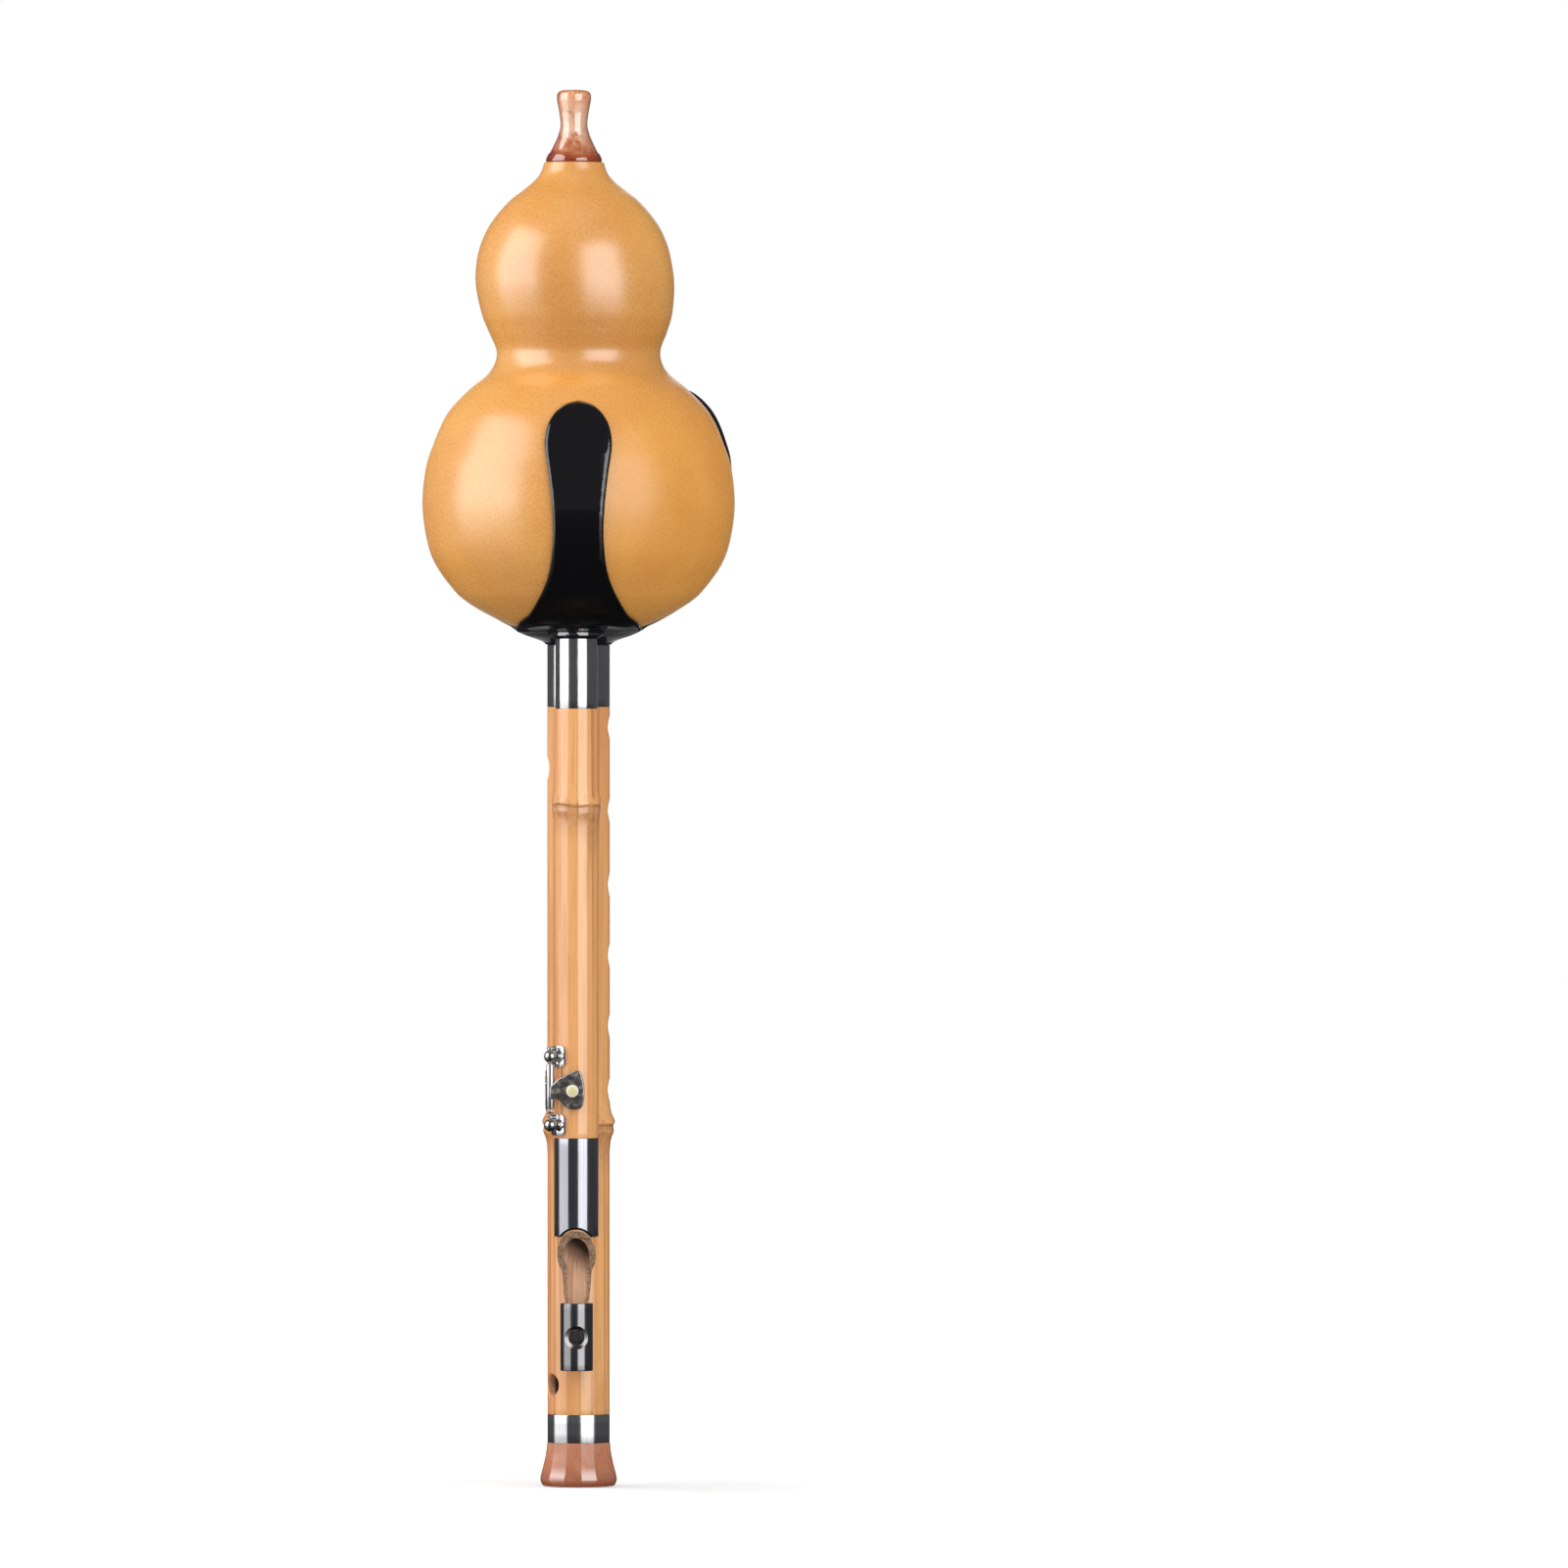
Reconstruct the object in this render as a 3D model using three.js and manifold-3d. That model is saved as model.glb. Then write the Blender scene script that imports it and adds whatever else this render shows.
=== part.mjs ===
// A gourd flute: a bamboo melody pipe between two bamboo drone pipes, plugged into a gourd windchest.
// Millimetres, +Z up along the melody pipe, origin in the middle of the foot's lower face.
// The keyed drone faces -Y, the finger holes face +X and the thumb hole faces -X.
import * as THREE from "three";
import { mergeVertices } from "three/addons/utils/BufferGeometryUtils.js";
import Module from "manifold-3d";

const wasm = await Module();
wasm.setup();

// Fits
const fitGap = 0.3; // between corked, capped and glued pieces
const runningGap = 0.1; // between the key's tube and its rod, and round small screws
const overrun = 2; // how far a cutter passes the face it opens
const mergeDistance = 0.0001;

// Melody pipe, from the floor up
const footHeight = 14;
const ringLength = 9.1;
const mainBareLength = 225.5;
const mainFerruleLength = 19.7;
const mainRadius = 10;
const mainBoreRadius = 7.5;
const mainNodeRadius = 11.7;
const mainNodeShare = 0.4075; // up the bare bamboo
const mainNodeReach = 7.2; // how far the swelling runs each way from the node's line
const capWall = 0.6; // wall of every steel sleeve
const mainTenonLength = 13.4; // bamboo inside the ferrule

// Holes of the melody pipe
const fingerHoleRadius = 3.4;
const holeBevel = 0.8;
const lowerHoleRadius = 3.3;
const lowerHoleAzimuth = THREE.MathUtils.degToRad(-59);
const fingerHoleShares = [0.9716, 0.8537, 0.7486, 0.6488, 0.549, 0.459];
const thumbHoleShare = 0.913;
const lowerHoleShare = 0.0417;

// Foot
const footRadius = 12.2;
const footFaceRadius = 11;
const footTopRadius = 10.1;
const footBoreRadius = 5.6;
const footMouthRadius = 8.6;
const footSpigotLength = 7.5;
const footWidestShare = 0.2; // up the foot's height
// Share of the foot's height, and share of the way from its face's radius to its widest
const footLipShares = [0.07, 0.72];
// Share of the foot's height, and share of the way from its widest to its top radius
const footWaistShares = [0.52, 0.6];
// Share of the foot's height, and share of the way from its bore's radius to its mouth's
const footBoreShares = [0.5, 0.2];

// Drone pipes
const droneRadius = 7.1;
const droneBoreRadius = 4.1;
const droneNodeRadius = 7.95;
const droneNodeReach = 6.5;
const droneNodeBelowFerrule = 31;
const droneFerruleLength = 22.3;
const droneFerruleRadius = 6.7;
const droneTenonLength = 14;
const sleeveRadius = 7.05;
const sleeveLength = 31.3;
const tailAboveFoot = 23.5; // from the foot's top up to the tail tubes
const pipeGap = 0.45; // between a sleeve and the melody pipe's node
const droneSpacing = mainNodeRadius + sleeveRadius + pipeGap;

// Quill cut and tail tube of a drone
const quillRadius = sleeveRadius - capWall - fitGap;
const quillOpening = 21.3; // from the sleeve down to the tail tube
const tongueThickness = 1;
const tongueDepth = 18; // how deep the tongue runs into the tail tube
const scoopRise = 2; // how far the cut climbs into the sleeve, at the quill's front
const scoopLength = 17.3;
const tailRadius = 5.2;
const tailLength = 21.5;
const tailChamfer = 0.5;
const tailScrewAboveEnd = 10.6;
const tailAccessRadius = 2.4;
const tailAccessBevel = 1.05;
const tailSaddleHalfWidth = 2.5;
const tailSaddleHalfHeight = 5;
const tailScrewHeadRadius = 2.1;
const tailScrewHeadHeight = 1.8;
const tailScrewSocketDepth = 1.2;
const tailScrewSocketSides = 6;
const tailScrewSocketRadius = 1.1;
const tailScrewRadius = 1.25;
const tailScrewBite = 1.9; // how deep it goes into the melody pipe's wall
// Share of the quill's radius towards the melody pipe, and share of the scoop's length down
const scoopShares = [
  [-1.5, -0.2],
  [-1, 0],
  [-0.645, 0.156],
  [-0.24, 0.353],
  [0, 0.48],
  [0.4, 0.665],
  [0.68, 0.838],
];

// Windchest: the gourd, measured from its lowest point
const gourdHeight = 150.6;
const waistHeight = 89.9;
const lowerLobeRadius = 49.8;
const waistRadius = 26.1;
const upperLobeRadius = 31.7;
const gourdWall = 4;
const neckDepth = 9.5; // solid round the mouthpiece's cork
const gourdLean = -1.45; // how far the upper lobe leans along X
const leanHeight = 32; // the lean comes in over this height above the waist
const openingReach = 16; // how far up the lower opening's cutter runs, past the wall
// Share of the height up to the waist, and share of the lower lobe's radius
const bellyShares = [
  [0, 0],
  [0.0056, 0.241],
  [0.0334, 0.43],
  [0.0756, 0.592],
  [0.1168, 0.715],
  [0.159, 0.799],
  [0.2436, 0.91],
  [0.328, 0.968],
  [0.456, 1],
];
// Share of the height up to the waist, and share of the way from its radius to the lower lobe's
const shoulderShares = [
  [0.581, 0.962],
  [0.665, 0.87],
  [0.781, 0.674],
  [0.865, 0.393],
  [0.932, 0.097],
];
// Share of the height above the waist, and share of the way from its radius to the upper lobe's
const upperBellyShares = [
  [0.112, 0.428],
  [0.2076, 0.774],
];
// Share of the height above the waist, and share of the upper lobe's radius
const crownShares = [
  [0.362, 1],
  [0.504, 0.973],
  [0.611, 0.909],
  [0.702, 0.81],
  [0.799, 0.65],
  [0.858, 0.508],
  [0.908, 0.393],
  [0.949, 0.334],
  [1, 0.3],
];

// Base: a black bowl with claws up the gourd and three sockets for the pipes
const baseFloor = 3.2; // from the base's lower face to the gourd's lowest point
const hubStep = 2; // the drones' sockets open this much above the middle one
const bowlRadius = 20.4;
const bowlDepth = 6;
const boatHalfWidth = 17;
const boatHeight = 9.8;
const rimLap = 4; // how far the base reaches past the gourd's opening
const plugHeight = 11.5; // how far the sockets reach up into the gourd
const socketWall = 1.5;
const clawHalfWidth = 10.7;
const clawThickness = 1.9;
const clawRoot = 6.2; // from the base's lower face up to where the claws' outline starts
// Heights are shares of the height up to the waist; the front claw's root spreads fully, the others hardly
const claws = [
  { azimuth: THREE.MathUtils.degToRad(2), heightShare: 0.793, spreadShare: 1 },
  { azimuth: THREE.MathUtils.degToRad(118), heightShare: 0.849, spreadShare: 0.1 },
  { azimuth: THREE.MathUtils.degToRad(241), heightShare: 0.793, spreadShare: 0.1 },
];
const clawWaistShare = 0.755;
// Share of a claw's height, and share of its half width: below the waist, and above it
const clawRootShares = [
  [-0.1, 1.95],
  [0, 1.82],
  [0.05, 1.45],
  [0.161, 1.04],
  [0.26, 0.84],
  [0.394, clawWaistShare],
];
const clawTipShares = [
  [0.529, 0.785],
  [0.663, 0.883],
  [0.795, 1],
  [0.88, 0.93],
  [0.94, 0.72],
  [0.983, 0.4],
  [1, 0],
];
// Share of the bowl's depth, and share of its radius
const bowlShares = [
  [0, 0.505],
  [0.17, 0.559],
  [0.36, 0.681],
  [0.55, 0.833],
  [0.75, 0.931],
  [1, 1],
  [1.9, 1],
];
// Share of the boat's height, of its half width and of its half length
const boatShares = [
  [0, 0.56, 0.87],
  [0.12, 0.76, 0.93],
  [0.38, 0.94, 0.975],
  [1, 1, 1],
];

// What plugs into the base: a turned tube with a cork, and the reed inside the gourd
const tenonHeight = 14.6;
const corkGrooveDepth = 0.8;
const corkProud = 0.7;
const corkMargin = 2.2;
const mainHead = {
  boreRadius: mainBoreRadius,
  capRadius: mainRadius,
  seatHeight: mainFerruleLength - mainTenonLength,
  spigotLength: 8,
  tenonRadius: 7.4,
  reedRadius: 5.6,
  reedBoreRadius: 3.6,
  reedLength: 45,
  plateHalfWidth: 2.9,
  plateLength: 27,
};
const droneHead = {
  boreRadius: droneBoreRadius,
  capRadius: droneFerruleRadius,
  seatHeight: droneFerruleLength - droneTenonLength,
  spigotLength: 8,
  tenonRadius: 5,
  reedRadius: 4,
  reedBoreRadius: 2.4,
  reedLength: 36,
  plateHalfWidth: 2.1,
  plateLength: 21,
};
const reedFlatDepth = 0.95;
const reedPlateThickness = 0.4;
const reedSlit = 0.35;
const reedSlotShare = 0.62; // width of the window under the tongue, of the plate's
const reedTongueShare = 0.36; // half width of the tongue's root, of the plate's half width
const reedTongueShares = [0.22, 0.72]; // from its root to its tip, up the plate
const reedWindowShares = [0.125, 0.8];
const plugHeadHeight = 3;
const plugStemLength = 7;
const plateBelowTop = 4;

// Mouthpiece
const mouthpieceHeight = 23.2;
const mouthpieceRadius = 8.95;
const mouthpieceBoreRadius = 2.5;
const mouthTenonRadius = 4.7;
const mouthTenonLength = 11.5;
const mouthCorkMargin = 1.8;
const mouthCorkProud = 0.9;
// Share of the mouthpiece's height, and share of its radius
const mouthpieceShares = [
  [0, 0.983],
  [0.04, 1],
  [0.11, 0.93],
  [0.16, 0.827],
  [0.29, 0.66],
  [0.385, 0.56],
  [0.51, 0.48],
  [0.65, 0.512],
  [0.76, 0.56],
  [0.88, 0.613],
  [0.955, 0.58],
  [0.99, 0.47],
  [1, 0.36],
];

// Key on the near drone
const keyAboveSleeve = 15.1;
const postOffset = 10.9; // from the key's middle to each post's
const postAzimuth = THREE.MathUtils.degToRad(-50);
const postScrewAzimuth = THREE.MathUtils.degToRad(-32.5);
const keyStandOff = 3.3; // from the bamboo to the hinge axis
const saddleHalfWidth = 3.2;
const saddleHalfHeight = 3.3;
const saddleCorner = 1.4;
const saddleThickness = 0.8;
const postStemRadius = 0.95;
const postFootRadius = 1.15;
const postFootHeight = 1.45;
const postBallRadius = 2.1;
const axleRadius = 0.6;
const axleHeadRadius = 1.3;
const axleHeadHeight = 0.8;
const keyTubeRadius = 1.35;
const keyTubeLow = 5.5; // from the key's middle down to the tube's end
const keyTubeHigh = 8.4;
const cupAzimuth = THREE.MathUtils.degToRad(-6);
const seatFlatDepth = 0.5; // how deep the bamboo is faced off under the pad
const seatFlatHalf = 4.2;
const toneHoleRadius = 2;
const padRadius = 2.9;
const padThickness = 1.3;
const padProud = 0.5;
const cupThickness = 1.8;
const cupWidth = 4.1; // from the button's middle to the cup's left corner
const cupHeight = 6.6; // from the button's middle to the cup's top
const buttonRadius = 2;
const buttonStepRadius = 1.25;
const buttonThickness = 0.85;
const buttonStep = 0.15;
const buttonRecess = 0.5;
const touchThickness = 0.9;
const touchReach = 16;
const touchBow = 1.6;
const touchHalfHeight = 6.5;
const postScrewHeadRadius = 1;
const postScrewCrownRadius = 0.7;
const postScrewHeadHeight = 0.6;
const postScrewRadius = 0.7;
const postScrewBite = 1.9;
const springWireRadius = 0.2;
const springRadius = 1;
const springPitch = 0.7;
const springTurns = 3.25;
const springLift = 0.4; // from the lower post's ball to the first turn
const springFootReach = 3; // how far its lower leg runs out along the saddle
const springFootDrift = 0.2;
const springLegShare = 0.62; // how low its upper leg meets the touch, of the touch's half height
const springLegShares = [0.4, 0.7]; // where that leg starts and ends, of the touch's reach
// The cup seen from outside, as shares of its width and height
const cupShares = [
  [-1.76, 0.14],
  [-1.36, 0.42],
  [-1, 0.61],
  [0.05, 0.93],
  [0.37, 0.99],
  [0.68, 0.82],
  [0.91, 0.11],
  [0.85, -0.52],
  [0.66, -0.82],
  [0.22, -0.9],
  [-0.46, -0.82],
  [-1.1, -0.42],
  [-1.76, -0.36],
];
// The touch from above: share of its bow along -X, share of its reach along +Y
const touchPlanShares = [
  [0.3, 0.02],
  [0.8, 0.22],
  [0.97, 0.5],
  [0.94, 0.75],
  [1.03, 1],
];
// The touch from the side: share of its reach, share of its half height
const touchSideShares = [
  [-0.05, 0.36],
  [0.25, 0.34],
  [0.45, 0.62],
  [0.62, 0.95],
  [0.8, 0.98],
  [0.94, 0.66],
  [1, 0],
];

// Facets
const gourdSteps = 30;
const cavitySteps = 16;
const pipeSteps = 22;
const droneSteps = 14;
const smallSteps = 10;
const holeSteps = 10;
const curveSteps = 12;
const cornerSteps = 3;
const springStepsPerTurn = 8;
const springSides = 5;

// Heights that follow from the sizes
const ringTop = footHeight + ringLength;
const mainBareTop = ringTop + mainBareLength;
const baseBottom = mainBareTop + mainFerruleLength;
const droneSeat = baseBottom + hubStep;
const droneBareTop = droneSeat - droneFerruleLength;
const tailBottom = footHeight + tailAboveFoot;
const tailScrewHeight = tailBottom + tailScrewAboveEnd;
const tailTop = tailBottom + tailLength;
const sleeveBottom = tailTop + quillOpening;
const sleeveTop = sleeveBottom + sleeveLength;
const keyHeight = sleeveTop + keyAboveSleeve;
const gourdBottom = baseBottom + baseFloor;
const gourdTop = gourdBottom + gourdHeight;

// Places that follow from the sizes
const tenonRadiusUnderCap = (capRadius) => capRadius - capWall - fitGap;
const corkRadiusOf = (head) => head.tenonRadius + corkProud;
const socketRadiusOf = (head) => corkRadiusOf(head) + fitGap;
const openingHalfWidth = socketRadiusOf(mainHead) + socketWall + fitGap;
const openingHalfLength = droneSpacing + socketRadiusOf(droneHead) + socketWall + fitGap;
const tonguePlane = quillRadius - tongueThickness;
const tongueHalfWidth = Math.sqrt(quillRadius ** 2 - tonguePlane ** 2);
const tailBoreRadius = tailRadius - capWall;
const tailOffset = tonguePlane - Math.sqrt((tailBoreRadius - fitGap) ** 2 - tongueHalfWidth ** 2);
const hingeRadius = droneRadius + keyStandOff;
const hingeX = Math.sin(postAzimuth) * hingeRadius;
const hingeY = -Math.cos(postAzimuth) * hingeRadius;
const padFace = droneRadius - seatFlatDepth + fitGap;
const cupFace = padFace + padProud;
const mouthHoleRadius = mouthTenonRadius + mouthCorkProud + fitGap;

// Materials
const paint = (color, roughness, metalness) =>
  new THREE.MeshStandardMaterial({ color, roughness, metalness });
const bamboo = paint(0xd69a5c, 0.42, 0);
const gourdSkin = paint(0xe0a055, 0.35, 0);
const blackResin = paint(0x0a0a0c, 0.12, 0);
const steel = paint(0xb9bcc2, 0.18, 1);
const agate = paint(0xbe785a, 0.15, 0);
const cork = paint(0xb98a58, 0.9, 0);
const brass = paint(0xc9a24a, 0.3, 1);
const tubeResin = paint(0x2a2420, 0.4, 0);
const keySilver = paint(0xc4c6ca, 0.2, 1);
const padLeather = paint(0xd8cdb4, 0.8, 0);
const buttonShell = paint(0xe6dfc0, 0.3, 0);

// A closed three.js geometry as a solid that can be joined and cut
function solidOf(geometry) {
  const bare = geometry.clone();
  bare.deleteAttribute("normal");
  bare.deleteAttribute("uv");
  const merged = mergeVertices(bare, mergeDistance);
  const corners = merged.index.array;
  const kept = [];
  for (let i = 0; i < corners.length; i += 3) {
    const [a, b, c] = [corners[i], corners[i + 1], corners[i + 2]];
    if (a !== b && b !== c && c !== a) kept.push(a, b, c);
  }
  return new wasm.Manifold(
    new wasm.Mesh({
      numProp: 3,
      vertProperties: merged.attributes.position.array,
      triVerts: new Uint32Array(kept),
    }),
  );
}

// The named mesh of a solid or of a closed geometry
function piece(name, shape, material) {
  const made = (shape.isBufferGeometry ? solidOf(shape) : shape).getMesh();
  const geometry = new THREE.BufferGeometry();
  geometry.setAttribute("position", new THREE.BufferAttribute(made.vertProperties, 3));
  geometry.setIndex(new THREE.BufferAttribute(made.triVerts, 1));
  const faceted = geometry.toNonIndexed();
  faceted.computeVertexNormals();
  const mesh = new THREE.Mesh(faceted, material);
  mesh.name = name;
  return mesh;
}

const joined = (...parts) => parts.map(asSolid).reduce((a, b) => a.add(b));
const cut = (body, ...cutters) => cutters.map(asSolid).reduce((a, b) => a.subtract(b), asSolid(body));
const common = (a, b) => asSolid(a).intersect(asSolid(b));

function asSolid(shape) {
  return shape.isBufferGeometry ? solidOf(shape) : shape;
}

// A profile of [radius, height] pairs turned about Z: up the outside, then down any bore
function turned(profile, steps) {
  const points = profile.map(([radius, height]) => new THREE.Vector2(radius, height));
  return new THREE.LatheGeometry(points, steps).rotateX(Math.PI / 2);
}

function rod(radius, low, high, steps = smallSteps) {
  return turned([[0, low], [radius, low], [radius, high], [0, high]], steps);
}

// A plain tube
function sleeve(outer, inner, low, high, steps) {
  const profile = [
    [inner, low],
    [outer, low],
    [outer, high],
    [inner, high],
    [inner, low],
  ];
  return turned(profile, steps);
}

// Anything turned about Z, laid so that its height runs outward along -Y, then swung to an azimuth
function outward(geometry, azimuth, height) {
  return geometry.rotateX(Math.PI / 2).rotateZ(azimuth).translate(0, 0, height);
}

// An outline in X and Z, thickened outward along -Y from a start distance
function facing(shape, start, depth, azimuth = 0) {
  return new THREE.ExtrudeGeometry(shape, { depth, bevelEnabled: false, curveSegments: cornerSteps })
    .rotateX(Math.PI / 2)
    .translate(0, -start, 0)
    .rotateZ(azimuth);
}

// An outline in Y and Z, thickened both ways along X
function sideways(shape, halfDepth) {
  const axes = [
    new THREE.Vector3(0, 1, 0),
    new THREE.Vector3(0, 0, 1),
    new THREE.Vector3(1, 0, 0),
  ];
  return new THREE.ExtrudeGeometry(shape, { depth: halfDepth * 2, bevelEnabled: false })
    .applyMatrix4(new THREE.Matrix4().makeBasis(...axes))
    .translate(-halfDepth, 0, 0);
}

// An outline in X and Y, thickened upward
function upward(shape, low, high) {
  const flat = { depth: high - low, bevelEnabled: false, curveSegments: smallSteps };
  return new THREE.ExtrudeGeometry(shape, flat).translate(0, 0, low);
}

// A slot-shaped outline, long in Y
function stadium(halfWidth, halfLength) {
  const middle = halfLength - halfWidth;
  const shape = new THREE.Shape();
  shape.absarc(0, middle, halfWidth, 0, Math.PI);
  shape.absarc(0, -middle, halfWidth, Math.PI, Math.PI * 2);
  return shape;
}

function roundedBox(halfWidth, halfHeight, corner) {
  const [x, y] = [halfWidth - corner, halfHeight - corner];
  const shape = new THREE.Shape();
  shape.absarc(x, y, corner, 0, Math.PI / 2);
  shape.absarc(-x, y, corner, Math.PI / 2, Math.PI);
  shape.absarc(-x, -y, corner, Math.PI, Math.PI * 1.5);
  shape.absarc(x, -y, corner, Math.PI * 1.5, Math.PI * 2);
  return shape;
}

const vectors = (pairs) => pairs.map(([x, y]) => new THREE.Vector2(x, y));
const smooth = (pairs, steps) => new THREE.SplineCurve(vectors(pairs)).getPoints(steps);

// A curve from the bottom to the tip and its mirror image, as one outline
function mirrored(points) {
  const back = points.slice(0, -1).reverse();
  return new THREE.Shape([...points, ...back.map((p) => new THREE.Vector2(-p.x, p.y))]);
}

// The swelling of a bamboo node: [radius, height] pairs from below it to above it
function nodeProfile(radius, nodeRadius, middle, reach) {
  const swell = nodeRadius - radius;
  const swellShares = [
    [-1, 0],
    [-0.5, 0.25],
    [-0.08, 1],
    [0.12, 0.97],
    [0.4, 0.42],
    [1, 0],
  ];
  return swellShares.map(([rise, out]) => [radius + swell * out, middle + reach * rise]);
}

// A bevelled round hole through one wall, from inside the bore to the surface
function wallHole(radius, surface, azimuth, height) {
  const profile = [
    [0, 0],
    [radius, 0],
    [radius, surface - holeBevel],
    [radius + holeBevel, surface + fitGap],
    [radius + holeBevel, surface + overrun],
    [0, surface + overrun],
  ];
  return outward(turned(profile, holeSteps), azimuth, height);
}

// Melody pipe

function mainPipe() {
  const capped = tenonRadiusUnderCap(mainRadius);
  const nodeHeight = ringTop + mainBareLength * mainNodeShare;
  const top = mainBareTop + mainTenonLength;
  const tube = turned(
    [
      [mainBoreRadius, footHeight],
      [capped, footHeight],
      [capped, ringTop],
      [mainRadius, ringTop],
      ...nodeProfile(mainRadius, mainNodeRadius, nodeHeight, mainNodeReach),
      [mainRadius, mainBareTop],
      [capped, mainBareTop],
      [capped, top],
      [mainBoreRadius, top],
      [mainBoreRadius, footHeight],
    ],
    pipeSteps,
  );
  const at = (share) => ringTop + mainBareLength * share;
  const fingers = fingerHoleShares.map((share) =>
    wallHole(fingerHoleRadius, mainRadius, Math.PI / 2, at(share)),
  );
  const thumb = wallHole(fingerHoleRadius, mainRadius, -Math.PI / 2, at(thumbHoleShare));
  const lower = [0, Math.PI].map((turn) =>
    wallHole(lowerHoleRadius, mainRadius, lowerHoleAzimuth + turn, at(lowerHoleShare)),
  );
  const screws = [0, Math.PI].map((turn) => {
    const hole = rod(tailScrewRadius + runningGap, 0, mainRadius + overrun);
    return outward(hole, turn, tailScrewHeight);
  });
  return cut(tube, ...fingers, thumb, ...lower, ...screws);
}

function footBell() {
  const spigotRadius = mainBoreRadius - fitGap;
  const top = footHeight + footSpigotLength;
  const [lipRise, lipOut] = footLipShares;
  const [waistRise, waistIn] = footWaistShares;
  const [boreRise, boreOut] = footBoreShares;
  const flare = smooth(
    [
      [footFaceRadius, 0],
      [THREE.MathUtils.lerp(footFaceRadius, footRadius, lipOut), footHeight * lipRise],
      [footRadius, footHeight * footWidestShare],
      [THREE.MathUtils.lerp(footRadius, footTopRadius, waistIn), footHeight * waistRise],
      [footTopRadius, footHeight],
    ],
    cornerSteps + 1,
  ).map((p) => [p.x, p.y]);
  const bore = smooth(
    [
      [footBoreRadius, footHeight],
      [THREE.MathUtils.lerp(footBoreRadius, footMouthRadius, boreOut), footHeight * boreRise],
      [footMouthRadius, 0],
    ],
    cornerSteps,
  ).map((p) => [p.x, p.y]);
  const profile = [
    ...flare,
    [spigotRadius, footHeight],
    [spigotRadius, top],
    [footBoreRadius, top],
    ...bore,
    [footFaceRadius, 0],
  ];
  return turned(profile, pipeSteps);
}

function lowerRing() {
  const inner = mainRadius - capWall;
  return sleeve(mainRadius, inner, footHeight, ringTop, pipeSteps);
}

// The pieces at the head of a pipe, built from the seat where the base rests

function ferrule(radius, length, steps) {
  return sleeve(radius, radius - capWall, -length, 0, steps);
}

function reedTube(head) {
  const flange = tenonRadiusUnderCap(head.capRadius);
  const spigot = head.boreRadius - fitGap;
  const groove = head.tenonRadius - corkGrooveDepth;
  const top = tenonHeight + head.reedLength;
  const body = turned(
    [
      [head.reedBoreRadius, -head.seatHeight - head.spigotLength],
      [spigot, -head.seatHeight - head.spigotLength],
      [spigot, -head.seatHeight],
      [flange, -head.seatHeight],
      [flange, 0],
      [head.tenonRadius, 0],
      [head.tenonRadius, corkMargin],
      [groove, corkMargin],
      [groove, tenonHeight - corkMargin],
      [head.tenonRadius, tenonHeight - corkMargin],
      [head.tenonRadius, tenonHeight],
      [head.reedRadius, tenonHeight],
      [head.reedRadius, top],
      [head.reedBoreRadius, top],
      [head.reedBoreRadius, -head.seatHeight - head.spigotLength],
    ],
    droneSteps,
  );
  const plateBottom = top - plateBelowTop - head.plateLength;
  const flatFace = head.reedRadius - reedFlatDepth;
  const flat = facing(
    plateShape(head, fitGap),
    flatFace,
    reedFlatDepth + overrun,
    Math.PI / 2,
  ).translate(0, 0, plateBottom);
  const [slotLow, slotHigh] = reedWindowShares.map((share) => head.plateLength * share);
  const slotShape = boxShape(head.plateHalfWidth * reedSlotShare, slotLow, slotHigh);
  const slot = facing(slotShape, 0, flatFace + overrun, Math.PI / 2).translate(0, 0, plateBottom);
  return cut(body, flat, slot);
}

// A box outline centred on X, from low to high
function boxShape(half, low, high) {
  return new THREE.Shape(vectors([[-half, low], [half, low], [half, high], [-half, high]]));
}

function plateShape(head, margin) {
  const half = head.plateHalfWidth + margin;
  return boxShape(half, -margin, head.plateLength + margin);
}

// The brass plate with its pointed tongue, cut free on two sides
function reedPlate(head) {
  const shape = plateShape(head, 0);
  const half = head.plateHalfWidth * reedTongueShare;
  const [root, tip] = reedTongueShares.map((share) => head.plateLength * share);
  shape.holes.push(
    new THREE.Path(
      vectors([
        [half, root],
        [half + reedSlit, root],
        [0, tip + reedSlit * 2],
        [-half - reedSlit, root],
        [-half, root],
        [0, tip],
      ]),
    ),
  );
  const plateBottom = tenonHeight + head.reedLength - plateBelowTop - head.plateLength;
  const seat = head.reedRadius - reedFlatDepth + fitGap;
  return facing(shape, seat, reedPlateThickness, Math.PI / 2).translate(0, 0, plateBottom);
}

function reedPlug(head) {
  const stem = head.reedBoreRadius - fitGap;
  const top = tenonHeight + head.reedLength;
  return turned(
    [
      [0, top - plugStemLength],
      [stem, top - plugStemLength],
      [stem, top],
      [head.reedRadius, top],
      [head.reedRadius, top + plugHeadHeight],
      [0, top + plugHeadHeight],
    ],
    smallSteps,
  );
}

function tenonCork(head) {
  const inner = head.tenonRadius - corkGrooveDepth + fitGap;
  const [low, high] = [corkMargin + fitGap, tenonHeight - corkMargin - fitGap];
  return sleeve(corkRadiusOf(head), inner, low, high, droneSteps);
}

// Drone pipe, about its own axis, with the melody pipe on its +Y side

// Everything in front of the quill's curved cut
function scoopCutter() {
  const front = quillRadius * 2;
  const top = sleeveBottom + scoopRise;
  const curve = scoopShares.map(([out, down]) => [quillRadius * out, top - scoopLength * down]);
  const end = tailTop - tongueDepth - overrun;
  const points = smooth([...curve, [tonguePlane, top - scoopLength]], curveSteps);
  const outline = [
    new THREE.Vector2(-front, end),
    new THREE.Vector2(tonguePlane, end),
    ...points.reverse(),
    new THREE.Vector2(-front, points[points.length - 1].y),
  ];
  return sideways(new THREE.Shape(outline), droneRadius + overrun);
}

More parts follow.
